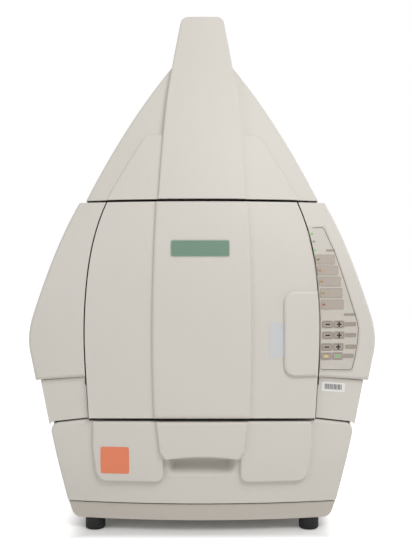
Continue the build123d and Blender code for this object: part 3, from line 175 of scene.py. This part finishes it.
OVERLAY = grained("panel_overlay_film", srgb(202, 196, 187), 0.45, spread=0.03)
BOARD = finish("circuit_board", srgb(30, 92, 52), 0.4, coat=0.3)
LAMP_GREEN = lamp_lens("lit_green", srgb(60, 196, 84), srgb(40, 200, 70), 0.25)
LAMP_OLIVE = lamp_lens("unlit_olive", srgb(120, 124, 78))
LAMP_PALE_AMBER = lamp_lens("unlit_amber", srgb(178, 132, 74))
LAMP_DIM_AMBER = lamp_lens("dim_amber", srgb(176, 138, 70))
LAMP_ORANGE = lamp_lens("unlit_orange", srgb(168, 88, 34))
LAMP_YELLOW = lamp_lens("lit_yellow", srgb(220, 200, 60), srgb(220, 200, 60), 0.2)
MARK_GREY = finish("printed_grey_brown", srgb(118, 107, 95), 0.55)
MARK_TAUPE = finish("printed_taupe", srgb(160, 150, 139), 0.55)
PLATE_GREEN = finish("badge_green", srgb(110, 140, 122), 0.35, coat=0.3)
PLATE_RIM = finish("badge_rim", srgb(176, 180, 170), 0.35, coat=0.3)
LABEL_PALE = finish("label_pale", srgb(204, 206, 207), 0.35, coat=0.3)
LABEL_WHITE = finish("label_white", srgb(232, 231, 227), 0.4, coat=0.2)
LABEL_ORANGE = finish("label_orange", srgb(228, 126, 86), 0.4, coat=0.2)
LABEL_DARK = finish("label_dark_bar", srgb(44, 43, 48), 0.45)
MARK_BLACK = finish("printed_black", srgb(30, 28, 26), 0.5)

# Nodes that aren't listed here, and are no key or ring, are of zinc-plated steel
COVERS = (
    "left_side_shell", "right_side_shell", "upper_shell", "tower_cover", "left_cheek", "right_cheek",
    "drawer_front", "door_panel",
)
KEY_NAMES = [name for name in CAD_NAMES if name.endswith("_key") or name.startswith("wide_key")]
NODE_FINISH = {
    # The plinth's finish holds painted shade from under the drawer front
    "base_plinth": PLINTH_WITH_PAINTED_SHADE,
    "rubber_feet": FOOT_RUBBER,
    "rear_panel": REAR_PAINT,
    "panel_overlay": OVERLAY,
    "status_lights": LAMP_GREEN,
    "key_board": BOARD,
    "front_frame": BLACK_POWDER,
    "darkroom_liner": BLACK_POWDER,
    "side_lamps": WHITE_ENAMEL,
    "catch_magnets": MAGNET_METAL,
    "camera_bracket": BLACK_POWDER,
    "camera_body": ANODISED,
    "lens_barrel": ANODISED,
    "filter_slide": ANODISED,
    "fan_frame": BLACK_MOULDED,
    "fan_rotor": BLACK_MOULDED,
    "rear_sockets": BLACK_MOULDED,
    "power_rocker": BLACK_MOULDED,
    "lamp_housing": WHITE_ENAMEL,
    "uv_tubes": TUBE_COAT,
    "filter_glass": FILTER_GLASS,
    "door_liner": BLACK_MOULDED,
    "door_seal": SEAL_FOAM,
}


def node_finish(name):
    """Finish of a CAD node."""
    if name in COVERS:
        return COVER
    if name in KEY_NAMES:
        return KEY_CAP
    if name.endswith("_ring"):
        return ANODISED
    return NODE_FINISH.get(name, ZINC)


def dress_nodes():
    """Give every CAD node its finish."""
    for name in CAD_NAMES:
        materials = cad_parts[name].data.materials
        materials.clear()
        materials.append(node_finish(name))


def surface_tree(name):
    """Search tree over the triangles of a node."""
    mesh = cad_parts[name].data
    corners = [vertex.co.copy() for vertex in mesh.vertices]
    faces = [tuple(polygon.vertices) for polygon in mesh.polygons]
    return BVHTree.FromPolygons(corners, faces)


TREES = {}
RAY_START = 1.0


def front_of(node, x, z):
    """Depth where a line from the front first meets a node, or else that of its nearest point."""
    if node not in TREES:
        TREES[node] = surface_tree(node)
    hit = TREES[node].ray_cast(Vector((x, -RAY_START, z)), Vector((0, 1, 0)))[0]
    if hit is None:
        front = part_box(node)[0].y
        hit = TREES[node].find_nearest(Vector((x, front, z)))[0]
    return hit.y


def node_middle(node):
    """Middle of a node's box, seen from the front."""
    low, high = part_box(node)
    return (low.x + high.x) / 2, (low.z + high.z) / 2


def put_in_scene(name, data):
    """New object from its data, at the origin."""
    item = bpy.data.objects.new(name, data)
    bpy.context.scene.collection.objects.link(item)
    return item


def mesh_data(name, mesh):
    """Finished bmesh as mesh data."""
    data = bpy.data.meshes.new(name)
    mesh.to_mesh(data)
    mesh.free()
    return data


def shown(name, mesh, body, material):
    """New piece from a finished bmesh, riding on a body."""
    piece = put_in_scene(name, mesh_data(name, mesh))
    piece.data.materials.append(material)
    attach(piece, body)
    return piece


def thicken(mesh, depth):
    """Give a sheet that faces the front its thickness towards the back."""
    walls = bmesh.ops.extrude_face_region(mesh, geom=list(mesh.faces))
    moved = [item for item in walls["geom"] if isinstance(item, bmesh.types.BMVert)]
    bmesh.ops.translate(mesh, verts=moved, vec=(0, depth, 0))
    bmesh.ops.recalc_face_normals(mesh, faces=mesh.faces)


# Printed marks, labels and plates, each laid on the surface of a node
Plate = namedtuple("Plate", "x z width height corner thick")
MARK_LIFT = 0.00012
MARK_THICK = 0.00020
UPRIGHT_THICK = 0.00025
STRIP_THICK = 0.00025
PLATE_CELLS = (10, 6)
SMALL_CELLS = (6, 4)


def round_corners(mesh, plate):
    """Pull the points near a rectangle's corners on to rounded corners."""
    inner_half_width = plate.width / 2 - plate.corner
    inner_half_height = plate.height / 2 - plate.corner
    for vertex in mesh.verts:
        across = abs(vertex.co.x) - inner_half_width
        up = abs(vertex.co.y) - inner_half_height
        if across > 0 and up > 0:
            scale = max(across, up) / sqrt(across * across + up * up)
            side = 1 if vertex.co.x > 0 else -1
            rise = 1 if vertex.co.y > 0 else -1
            vertex.co.x = side * (inner_half_width + across * scale)
            vertex.co.y = rise * (inner_half_height + up * scale)


def lay_plate(name, node, body, material, plate, cells=PLATE_CELLS, tilt=0.0):
    """Thin plate that follows a curved surface: a grid cut to a rounded outline, laid on the node."""
    mesh = bmesh.new()
    bmesh.ops.create_grid(mesh, x_segments=cells[0], y_segments=cells[1], size=0.5)
    for vertex in mesh.verts:
        vertex.co.x *= plate.width
        vertex.co.y *= plate.height
    if plate.corner:
        round_corners(mesh, plate)
    turn = radians(tilt)
    for vertex in mesh.verts:
        x = plate.x + vertex.co.x * cos(turn) - vertex.co.y * sin(turn)
        z = plate.z + vertex.co.x * sin(turn) + vertex.co.y * cos(turn)
        vertex.co = Vector((x, front_of(node, x, z) - MARK_LIFT - plate.thick, z))
    thicken(mesh, plate.thick)
    shown(name, mesh, body, material)


def lay_strip(name, node, body, material, path, width, steps):
    """Narrow printed line along a path on a curved surface, bent from a one-cell-wide grid."""
    mesh = bmesh.new()
    bmesh.ops.create_grid(mesh, x_segments=steps, y_segments=1, size=0.5)
    lengths = [0.0]
    for first, second in zip(path, path[1:]):
        lengths.append(lengths[-1] + (Vector(second) - Vector(first)).length)
    for vertex in mesh.verts:
        share = (vertex.co.x + 0.5) * lengths[-1]
        leg = next((i for i in range(1, len(lengths)) if share <= lengths[i] + 1e-9), len(lengths) - 1)
        start, end = Vector(path[leg - 1]), Vector(path[leg])
        along = (end - start).normalized()
        side = Vector((-along.y, along.x)) * width * vertex.co.y
        x, z = start + along * (share - lengths[leg - 1]) + side
        vertex.co = Vector((x, front_of(node, x, z) - MARK_LIFT - STRIP_THICK, z))
    thicken(mesh, STRIP_THICK)
    shown(name, mesh, body, material)


# Badge on the raised band of the door
BADGE_RIM = Plate(-0.003, 0.4968, 0.102, 0.0295, 0.003, 0.0007)
BADGE_FACE = Plate(-0.003, 0.4968, 0.099, 0.0265, 0.002, 0.0011)
BADGE_CELLS = (24, 10)


def make_badge():
    """Bare badge plate with its rim."""
    lay_plate("badge_rim", "door_panel", "door", PLATE_RIM, BADGE_RIM, BADGE_CELLS)
    lay_plate("badge_plate", "door_panel", "door", PLATE_GREEN, BADGE_FACE, BADGE_CELLS)


# Labels, left bare except for plain bars
DOOR_LABEL = Plate(0.1290, 0.3390, 0.026, 0.060, 0.0020, 0.00025)
DOOR_LABEL_CELLS = (10, 12)
LOBE_LABEL = Plate(-0.1506, 0.1310, 0.050, 0.047, 0.0025, 0.0003)
SHELL_LABEL = Plate(0.2300, 0.2550, 0.042, 0.016, 0.0012, 0.0003)
SHELL_LABEL_TILT = -5.0
BAR_SHIFTS = (
    -0.0150, -0.0128, -0.0102, -0.0082, -0.0056, -0.0030, -0.0008, 0.0018, 0.0040, 0.0064, 0.0090, 0.0112,
    0.0138,
)
BAR_RISE = 0.0005
BAR_WIDTH = 0.0013
BAR_HEIGHT = 0.0092
BAR_THICK = 0.00045
BAR_CELLS = (1, 2)


def make_labels():
    """Labels of the door, the drawer's left lobe and the right lower shell."""
    lay_plate("door_label", "door_panel", "door", LABEL_PALE, DOOR_LABEL, DOOR_LABEL_CELLS)
    lay_plate("lobe_label", "drawer_front", "drawer", LABEL_ORANGE, LOBE_LABEL)
    lay_plate("shell_label", "right_side_shell", ROOT, LABEL_WHITE, SHELL_LABEL, tilt=SHELL_LABEL_TILT)
    for index, shift in enumerate(BAR_SHIFTS):
        bar_z = SHELL_LABEL.z + BAR_RISE + shift * sin(radians(SHELL_LABEL_TILT))
        bar = Plate(SHELL_LABEL.x + shift, bar_z, BAR_WIDTH, BAR_HEIGHT, 0.0, BAR_THICK)
        name = "shell_label_bar_" + str(index + 1)
        lay_plate(name, "right_side_shell", ROOT, LABEL_DARK, bar, BAR_CELLS)


# Marks of the key panel
PANEL_BORDER = (
    (0.1935, 0.5335), (0.2110, 0.5348), (0.2150, 0.5320), (0.2230, 0.5120), (0.2315, 0.4935), (0.2405, 0.4660),
    (0.2490, 0.4400), (0.2575, 0.4130), (0.2660, 0.3860), (0.2705, 0.3720), (0.2735, 0.3575), (0.2715, 0.3330),
    (0.2675, 0.3090), (0.2620, 0.2880), (0.2590, 0.2855), (0.2080, 0.2870),
)
BORDER_WIDTH = 0.0011
BORDER_STEPS = 90
PANEL_LEFT_EDGE = (
    (0.1850, 0.5290), (0.1905, 0.5000), (0.1960, 0.4720), (0.2010, 0.4380), (0.2036, 0.4000), (0.2052, 0.3500),
    (0.2048, 0.3150), (0.2040, 0.2905), (0.2080, 0.2870),
)
LEFT_EDGE_WIDTH = 0.00088
LEFT_EDGE_STEPS = 60
HEADING_BAR = Plate(0.2580, 0.3820, 0.022, 0.0045, 0.0010, MARK_THICK)
UPPER_BAR = Plate(0.2250, 0.4940, 0.016, 0.0040, 0.0010, MARK_THICK)
ROW_TAGS = (
    Plate(0.2590, 0.3652, 0.020, 0.0075, 0.0015, MARK_THICK),
    Plate(0.2595, 0.3462, 0.020, 0.0075, 0.0015, MARK_THICK),
    Plate(0.2590, 0.3260, 0.020, 0.0075, 0.0015, MARK_THICK),
    Plate(0.2555, 0.3100, 0.019, 0.0075, 0.0015, MARK_THICK),
)
SIGN_LONG = 0.0085
SIGN_NARROW = 0.0026
SIGN_CELLS = 4
OUTLINE_INSET = 0.0026
OUTLINE_CORNER = 0.0042
OUTLINE_WIDTH = 0.0006
OUTLINE_STEPS = 60
CORNER_STEPS = 5


def make_panel_marks():
    """Printed border, bars and tags of the key panel, left without words."""
    lay_strip("panel_border", "panel_overlay", ROOT, MARK_GREY, PANEL_BORDER, BORDER_WIDTH, BORDER_STEPS)
    lay_strip(
        "panel_border_left", "panel_overlay", ROOT, MARK_TAUPE, PANEL_LEFT_EDGE, LEFT_EDGE_WIDTH,
        LEFT_EDGE_STEPS,
    )
    lay_plate("heading_bar", "panel_overlay", ROOT, MARK_TAUPE, HEADING_BAR, SMALL_CELLS)
    lay_plate("upper_bar", "panel_overlay", ROOT, MARK_TAUPE, UPPER_BAR, SMALL_CELLS)
    for index, tag in enumerate(ROW_TAGS):
        lay_plate("row_tag_" + str(index + 1), "panel_overlay", ROOT, MARK_TAUPE, tag, SMALL_CELLS)


def make_key_signs():
    """Minus and plus signs on the lens keys."""
    for node in KEY_NAMES:
        if node.startswith(("iris", "zoom", "focus")):
            x, z = node_middle(node)
            bar = Plate(x, z, SIGN_LONG, SIGN_NARROW, 0.0, MARK_THICK)
            lay_plate(node + "_bar", node, node, MARK_BLACK, bar, (SIGN_CELLS, 1))
            if "plus" in node:
                upright = Plate(x, z, SIGN_NARROW, SIGN_LONG, 0.0, UPRIGHT_THICK)
                lay_plate(node + "_upright", node, node, MARK_BLACK, upright, (1, SIGN_CELLS))


def rounded_rectangle(middle, width, height, corner):
    """Closed path round a rectangle with rounded corners."""
    path = []
    for turn, (side, rise) in enumerate(((1, 1), (-1, 1), (-1, -1), (1, -1))):
        for step in range(CORNER_STEPS + 1):
            angle = (turn + step / CORNER_STEPS) * pi / 2
            x = (width / 2 - corner) * side + corner * cos(angle)
            z = (height / 2 - corner) * rise + corner * sin(angle)
            path.append((middle[0] + x, middle[1] + z))
    return path + path[:1]


def make_key_outlines():
    """Dark printed edge on each small key, with rounder corners than the key itself."""
    for node in KEY_NAMES:
        if node.startswith("wide"):
            continue
        low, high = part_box(node)
        width = high.x - low.x - OUTLINE_INSET
        height = high.z - low.z - OUTLINE_INSET
        path = rounded_rectangle(node_middle(node), width, height, OUTLINE_CORNER)
        lay_strip(node + "_outline", node, node, MARK_GREY, path, OUTLINE_WIDTH, OUTLINE_STEPS)


# Lamps of the key panel
STATUS_LAMPS = (
    ("top", 0.1925, 0.5234, LAMP_GREEN),
    ("middle", 0.1954, 0.5095, LAMP_OLIVE),
    ("low", 0.1974, 0.4945, LAMP_GREEN),
)
STATUS_LAMP_RADIUS = 0.0017
STATUS_LAMP_STAND = 0.0006
STATUS_LAMP_TURNS = 20
STATUS_LAMP_RINGS = 10
WIDE_KEY_LAMPS = (LAMP_OLIVE, LAMP_PALE_AMBER, LAMP_PALE_AMBER, LAMP_DIM_AMBER, LAMP_ORANGE)
WIDE_KEY_INSET = 0.0045
KEY_LAMP_WIDTH = 0.0050
KEY_LAMP_HEIGHT = 0.0030
KEY_LAMP_CORNER = 0.00105
KEY_LAMP_THICK = 0.0003


def make_status_lamp(name, x, z, material):
    """Small domed lens of a status light."""
    mesh = bmesh.new()
    bmesh.ops.create_uvsphere(
        mesh, u_segments=STATUS_LAMP_TURNS, v_segments=STATUS_LAMP_RINGS, radius=STATUS_LAMP_RADIUS,
    )
    bmesh.ops.scale(mesh, vec=(1, STATUS_LAMP_STAND / STATUS_LAMP_RADIUS, 1), verts=mesh.verts)
    bmesh.ops.translate(mesh, vec=(x, front_of("status_lights", x, z), z), verts=mesh.verts)
    shown(name, mesh, ROOT, material)


def make_key_lamp(node, material, x, z):
    """Small oblong lamp window on a key."""
    window = Plate(x, z, KEY_LAMP_WIDTH, KEY_LAMP_HEIGHT, KEY_LAMP_CORNER, KEY_LAMP_THICK)
    lay_plate(node + "_lamp", node, node, material, window, SMALL_CELLS)


def make_panel_lamps():
    """Three status lights and the lamp windows of the keys."""
    for name, x, z, material in STATUS_LAMPS:
        make_status_lamp("status_lamp_" + name, x, z, material)
    for index, material in enumerate(WIDE_KEY_LAMPS):
        node = "wide_key_" + str(index + 1)
        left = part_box(node)[0].x
        make_key_lamp(node, material, left + WIDE_KEY_INSET, node_middle(node)[1])
    make_key_lamp("lamp_minus_key", LAMP_YELLOW, *node_middle("lamp_minus_key"))
    make_key_lamp("lamp_plus_key", LAMP_GREEN, *node_middle("lamp_plus_key"))


# Screws, with the shape of the head given as shares of its radius or depth
HEAD_SIDES = 24
HEAD_TAPER = 0.72
HEAD_ROUNDING = 0.3
SLOT_LENGTH = 1.1
SLOT_WIDTH = 0.2
SLOT_THICK = 0.1
SLOT_LEVEL = 0.47
REAR_SCREWS = (
    (-0.215, 0.050), (0.215, 0.050), (-0.262, 0.240), (0.262, 0.240), (-0.288, 0.360), (0.288, 0.360),
    (-0.248, 0.490), (0.248, 0.490), (-0.190, 0.600), (0.190, 0.600), (-0.118, 0.720), (0.118, 0.720),
    (-0.060, 0.820), (0.060, 0.820), (-0.024, 0.915), (0.024, 0.915),
)
REAR_SCREW_RADIUS = 0.0030
REAR_SCREW_PROUD = 0.0004
REAR_SCREW_DEPTH = 0.0018
FRAME_SCREW_SIDE = 0.199
FRAME_SCREW_LEVELS = (0.230, 0.360, 0.470, 0.560)
FRAME_SCREW_GAP = 0.0001
FRAME_SCREW_RADIUS = 0.0032
FRAME_SCREW_DEPTH = 0.0020


def make_screw(name, place, axis, radius, depth):
    """Pan head with a cross recess, its axis along a given direction, sitting on a surface."""
    mesh = bmesh.new()
    bmesh.ops.create_cone(
        mesh, cap_ends=True, segments=HEAD_SIDES, radius1=radius, radius2=radius * HEAD_TAPER, depth=depth,
    )
    rim = [edge for edge in mesh.edges if all(vertex.co.z > 0 for vertex in edge.verts)]
    bmesh.ops.bevel(
        mesh, geom=rim, offset=depth * HEAD_ROUNDING, segments=2, affect="EDGES", profile=0.5, material=-1,
        clamp_overlap=True,
    )
    cross = bmesh.new()
    for angle in (0, pi / 2):
        bar = bmesh.ops.create_cube(cross, size=1.0)["verts"]
        bmesh.ops.scale(cross, vec=(radius * SLOT_LENGTH, radius * SLOT_WIDTH, depth * SLOT_THICK), verts=bar)
        bmesh.ops.rotate(cross, matrix=Matrix.Rotation(angle, 3, "Z"), verts=bar)
        bmesh.ops.translate(cross, vec=(0, 0, depth * SLOT_LEVEL), verts=bar)
    turn = Vector((0, 0, 1)).rotation_difference(Vector(axis)).to_matrix().to_4x4()
    head = Matrix.Translation(Vector(place) + Vector(axis) * depth / 2) @ turn
    for part in (mesh, cross):
        bmesh.ops.transform(part, matrix=head, verts=part.verts)
    shown(name, mesh, ROOT, ZINC)
    shown(name + "_slot", cross, ROOT, BLACK_MOULDED)


def make_rear_screws():
    """Screws round the rear panel."""
    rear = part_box("rear_panel")[1].y
    for index, (x, z) in enumerate(REAR_SCREWS):
        place = (x, rear + REAR_SCREW_PROUD - REAR_SCREW_DEPTH, z)
        make_screw("rear_screw_" + str(index + 1), place, (0, 1, 0), REAR_SCREW_RADIUS, REAR_SCREW_DEPTH)


def make_frame_screws():
    """Screws that hold the black front frame, seen when the door is open."""
    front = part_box("front_frame")[0].y
    for side, side_name in ((-1, "left"), (1, "right")):
        for level in FRAME_SCREW_LEVELS:
            place = (side * FRAME_SCREW_SIDE, front - FRAME_SCREW_GAP, level)
            name = "frame_screw_" + side_name + "_" + str(round(level * 1000))
            make_screw(name, place, (0, -1, 0), FRAME_SCREW_RADIUS, FRAME_SCREW_DEPTH)


# Wire guard of the fan
GUARD_RINGS = (0.012, 0.020, 0.028, 0.0355)
GUARD_INSET = 0.0012
WIRE_RADIUS = 0.0008
WIRE_SIDES = 8
RING_STEPS = 40
SPOKES = 4
SPOKE_LENGTH = 0.0725
JOIN_DISTANCE = 1e-6


def make_fan_guard():
    """Rings and spokes of wire in front of the fan's outlet."""
    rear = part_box("rear_panel")[1].y
    middle_x, middle_z = node_middle("fan_frame")
    guard = bmesh.new()
    for radius in GUARD_RINGS:
        wire = bmesh.ops.create_circle(guard, segments=WIRE_SIDES, radius=WIRE_RADIUS)["verts"]
        bmesh.ops.translate(guard, verts=wire, vec=(radius, 0, 0))
        edges = {edge for vertex in wire for edge in vertex.link_edges}
        bmesh.ops.spin(
            guard, geom=list(edges) + list(wire), cent=(0, 0, 0), axis=(0, 1, 0), dvec=(0, 0, 0), angle=2 * pi,
            steps=RING_STEPS, use_merge=True,
        )
    for turn in range(SPOKES):
        spoke = bmesh.ops.create_cone(
            guard, cap_ends=True, segments=WIRE_SIDES, radius1=WIRE_RADIUS, radius2=WIRE_RADIUS,
            depth=SPOKE_LENGTH,
        )["verts"]
        bmesh.ops.rotate(guard, verts=spoke, matrix=Matrix.Rotation(turn * pi / SPOKES, 3, "Y"))
    bmesh.ops.remove_doubles(guard, verts=guard.verts, dist=JOIN_DISTANCE)
    bmesh.ops.recalc_face_normals(guard, faces=guard.faces)
    bmesh.ops.translate(guard, verts=guard.verts, vec=(middle_x, rear - GUARD_INSET, middle_z))
    shown("fan_guard", guard, ROOT, ZINC)


# Strip between the rear panel and the roof of the tower
TOWER_WALL = 0.0035
TOWER_TOP_HALF = 0.0345
REAR_PLATE = 0.0030


def make_rear_top():
    """Strip that closes the rear of the tower above the rear panel."""
    panel_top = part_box("rear_panel")[1]
    tower_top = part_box("tower_cover")[1]
    height = tower_top.z - TOWER_WALL - panel_top.z
    mesh = bmesh.new()
    bmesh.ops.create_cube(mesh, size=1.0)
    bmesh.ops.scale(mesh, vec=(2 * TOWER_TOP_HALF, REAR_PLATE, height), verts=mesh.verts)
    bmesh.ops.translate(mesh, vec=(0, panel_top.y - REAR_PLATE / 2, panel_top.z + height / 2), verts=mesh.verts)
    shown("rear_top_strip", mesh, ROOT, REAR_PAINT)


# Recess under the bridge of the drawer front, with two levels of the face that its slope is taken from
SCOOP_HALF = 0.0605
SCOOP_LOW = 0.0995
SCOOP_HIGH = 0.1500
SCOOP_DEPTH = 0.0230
SCOOP_SIDE_EASE = 0.0150
SCOOP_SLOPE = 0.0300
SCOOP_CELLS = (48, 28)
FACE_LOW = 0.080
FACE_HIGH = 0.098


def ease(share):
    """Smooth step from 0 to 1."""
    share = min(1.0, max(0.0, share))
    return share * share * (3 - 2 * share)


def make_scoop_lining():
    """Moulded recess under the bridge, from the lower face up behind the bridge."""
    mesh = bmesh.new()
    bmesh.ops.create_grid(mesh, x_segments=SCOOP_CELLS[0], y_segments=SCOOP_CELLS[1], size=0.5)
    for vertex in mesh.verts:
        x = vertex.co.x * 2 * SCOOP_HALF
        z = SCOOP_LOW + (vertex.co.y + 0.5) * (SCOOP_HIGH - SCOOP_LOW)
        upper = front_of("drawer_front", x, FACE_HIGH)
        lower = front_of("drawer_front", x, FACE_LOW)
        face = upper + (z - FACE_HIGH) * (upper - lower) / (FACE_HIGH - FACE_LOW)
        across = 1 - ease((abs(x) - SCOOP_HALF + SCOOP_SIDE_EASE) / SCOOP_SIDE_EASE)
        up = ease((z - SCOOP_LOW) / SCOOP_SLOPE)
        vertex.co = Vector((x, face - MARK_LIFT + SCOOP_DEPTH * across * up, z))
    bmesh.ops.recalc_face_normals(mesh, faces=mesh.faces)
    piece = shown("scoop_lining", mesh, "drawer", COVER)
    for polygon in piece.data.polygons:
        polygon.use_smooth = True
    face_forward(piece)


def face_forward(piece):
    """Turn an open sheet so that its faces point to the front."""
    if piece.data.polygons[0].normal.y > 0:
        piece.data.flip_normals()


# Corners of the lower side shells, with two places of the shell that their slope is taken from
CORNER_LOW = 0.2585
CORNER_HIGH = 0.2738
CORNER_INNER = 0.2040
CORNER_OUTER = 0.2106
CORNER_CELLS = (3, 4)
SHELL_NEAR = 0.2115
SHELL_FAR = 0.2200
SHELL_WALL = 0.0035


def make_shell_corner(name, node, side):
    """Corner piece of one lower side shell beside the door's foot."""
    mesh = bmesh.new()
    bmesh.ops.create_grid(mesh, x_segments=CORNER_CELLS[0], y_segments=CORNER_CELLS[1], size=0.5)
    for vertex in mesh.verts:
        x = CORNER_INNER + (vertex.co.x + 0.5) * (CORNER_OUTER - CORNER_INNER)
        z = CORNER_LOW + (vertex.co.y + 0.5) * (CORNER_HIGH - CORNER_LOW)
        near = front_of(node, side * SHELL_NEAR, z)
        far = front_of(node, side * SHELL_FAR, z)
        face = near + (x - SHELL_NEAR) * (far - near) / (SHELL_FAR - SHELL_NEAR)
        vertex.co = Vector((side * x, face, z))
    thicken(mesh, SHELL_WALL)
    shown(name, mesh, ROOT, COVER)


# Floor, whose own light is weak in the footprint of the object and strong away from it
FLOOR_HALF = 6.0
FLOOR_CELLS = 2
FLOOR_COLOUR = (0.86, 0.86, 0.855, 1.0)
FLOOR_ROUGH = 0.9
FOOTPRINT_SHARE = 0.78
GLOW_NEAR = 0.06
GLOW_FAR = 0.75
GLOW_START = 0.82
GLOW_END = 1.12


def math_node(tree, operation, first, second):
    """Result of a math node fed by two sockets or numbers."""
    node = tree.nodes.new("ShaderNodeMath")
    node.operation = operation
    for socket, value in zip(node.inputs, (first, second)):
        if isinstance(value, (int, float)):
            socket.default_value = value
        else:
            tree.links.new(value, socket)
    return node.outputs["Value"]


def add_floor_glow(material):
    """Light of the floor's own, for the camera and mirrors."""
    tree = material.node_tree
    shader = tree.nodes["Principled BSDF"]
    shader.inputs["Emission Color"].default_value = WHITE
    place = tree.nodes.new("ShaderNodeTexCoord")
    parts = tree.nodes.new("ShaderNodeSeparateXYZ")
    tree.links.new(place.outputs["Object"], parts.inputs["Vector"])
    across = math_node(tree, "ABSOLUTE", parts.outputs["X"], 0.0)
    deep = math_node(tree, "ABSOLUTE", parts.outputs["Y"], 0.0)
    wide = math_node(tree, "DIVIDE", across, START_HIGH.x * FOOTPRINT_SHARE)
    long = math_node(tree, "DIVIDE", deep, START_HIGH.y)
    fade = tree.nodes.new("ShaderNodeMapRange")
    fade.interpolation_type = "SMOOTHSTEP"
    fade.inputs["From Min"].default_value = GLOW_START
    fade.inputs["From Max"].default_value = GLOW_END
    fade.inputs["To Min"].default_value = GLOW_NEAR
    fade.inputs["To Max"].default_value = GLOW_FAR
    tree.links.new(math_node(tree, "MAXIMUM", wide, long), fade.inputs["Value"])
    path = tree.nodes.new("ShaderNodeLightPath")
    seen = math_node(tree, "MAXIMUM", path.outputs["Is Camera Ray"], path.outputs["Is Glossy Ray"])
    glow = math_node(tree, "MULTIPLY", seen, fade.outputs["Result"])
    tree.links.new(glow, shader.inputs["Emission Strength"])


def make_floor():
    """Pale floor that keeps the shadow of the object."""
    mesh = bmesh.new()
    bmesh.ops.create_grid(mesh, x_segments=FLOOR_CELLS, y_segments=FLOOR_CELLS, size=FLOOR_HALF)
    floor = put_in_scene("studio_floor", mesh_data("studio_floor", mesh))
    material = finish("floor_paper", FLOOR_COLOUR, FLOOR_ROUGH)
    material.node_tree.nodes["Principled BSDF"].inputs["Specular IOR Level"].default_value = 0.0
    add_floor_glow(material)
    floor.data.materials.append(material)


# Lamps, surroundings and camera
Lamp = namedtuple("Lamp", "name place aim size power")
STUDIO_LAMPS = (
    Lamp("key_lamp", (0.75, -1.75, 2.0), (0.0, 0.0, 0.45), (1.1, 1.1), 27.0),
    Lamp("fill_lamp", (-1.8, -1.7, 1.2), (0.0, 0.0, 0.45), (1.2, 1.6), 8.5),
    Lamp("rim_lamp", (1.9, 0.2, 1.1), (0.0, 0.0, 0.55), (1.0, 1.4), 8.0),
)
WORLD_LIGHT = 0.395
WORLD_SEEN = 1.0
CAMERA_DISTANCE = 1.530
CAMERA_HEIGHT = 0.451
CAMERA_SIDE = 0.007
CAMERA_LENS = 51.87
CAMERA_REACH = 50.0
SENSOR_WIDTH = 36.0


def make_lamp(lamp):
    """Soft rectangular lamp turned towards a point."""
    data = bpy.data.lights.new(lamp.name, "AREA")
    data.shape = "RECTANGLE"
    data.size, data.size_y = lamp.size
    data.energy = lamp.power
    light = put_in_scene(lamp.name, data)
    light.location = lamp.place
    light.rotation_euler = (Vector(lamp.aim) - Vector(lamp.place)).to_track_quat("-Z", "Y").to_euler()


def make_world():
    """White surroundings, dimmer as a source of light than as seen."""
    world = bpy.data.worlds.new("studio_world")
    bpy.context.scene.world = world
    world.use_nodes = True
    tree = world.node_tree
    back = tree.nodes["Background"]
    back.inputs["Color"].default_value = WHITE
    path = tree.nodes.new("ShaderNodeLightPath")
    seen = math_node(tree, "MAXIMUM", path.outputs["Is Camera Ray"], path.outputs["Is Glossy Ray"])
    through = math_node(tree, "MAXIMUM", seen, path.outputs["Is Transmission Ray"])
    level = tree.nodes.new("ShaderNodeMapRange")
    level.inputs["To Min"].default_value = WORLD_LIGHT
    level.inputs["To Max"].default_value = WORLD_SEEN
    tree.links.new(through, level.inputs["Value"])
    tree.links.new(level.outputs["Result"], back.inputs["Strength"])


def make_camera():
    """Level camera at the photograph's viewing angle."""
    data = bpy.data.cameras.new("camera")
    data.lens = CAMERA_LENS
    data.sensor_width = SENSOR_WIDTH
    data.clip_end = CAMERA_REACH
    camera = put_in_scene("camera", data)
    camera.location = (CAMERA_SIDE, -CAMERA_DISTANCE, CAMERA_HEIGHT)
    camera.rotation_euler = Euler((radians(90), 0, 0))
    bpy.context.scene.camera = camera


dress_nodes()
make_badge()
make_labels()
make_panel_marks()
make_key_signs()
make_key_outlines()
make_panel_lamps()
make_rear_screws()
make_fan_guard()
make_rear_top()
make_frame_screws()
make_scoop_lining()
make_shell_corner("shell_corner_left", "left_side_shell", -1)
make_shell_corner("shell_corner_right", "right_side_shell", 1)
make_floor()
for lamp in STUDIO_LAMPS:
    make_lamp(lamp)
make_world()
make_camera()
bpy.context.scene.view_settings.view_transform = "Standard"
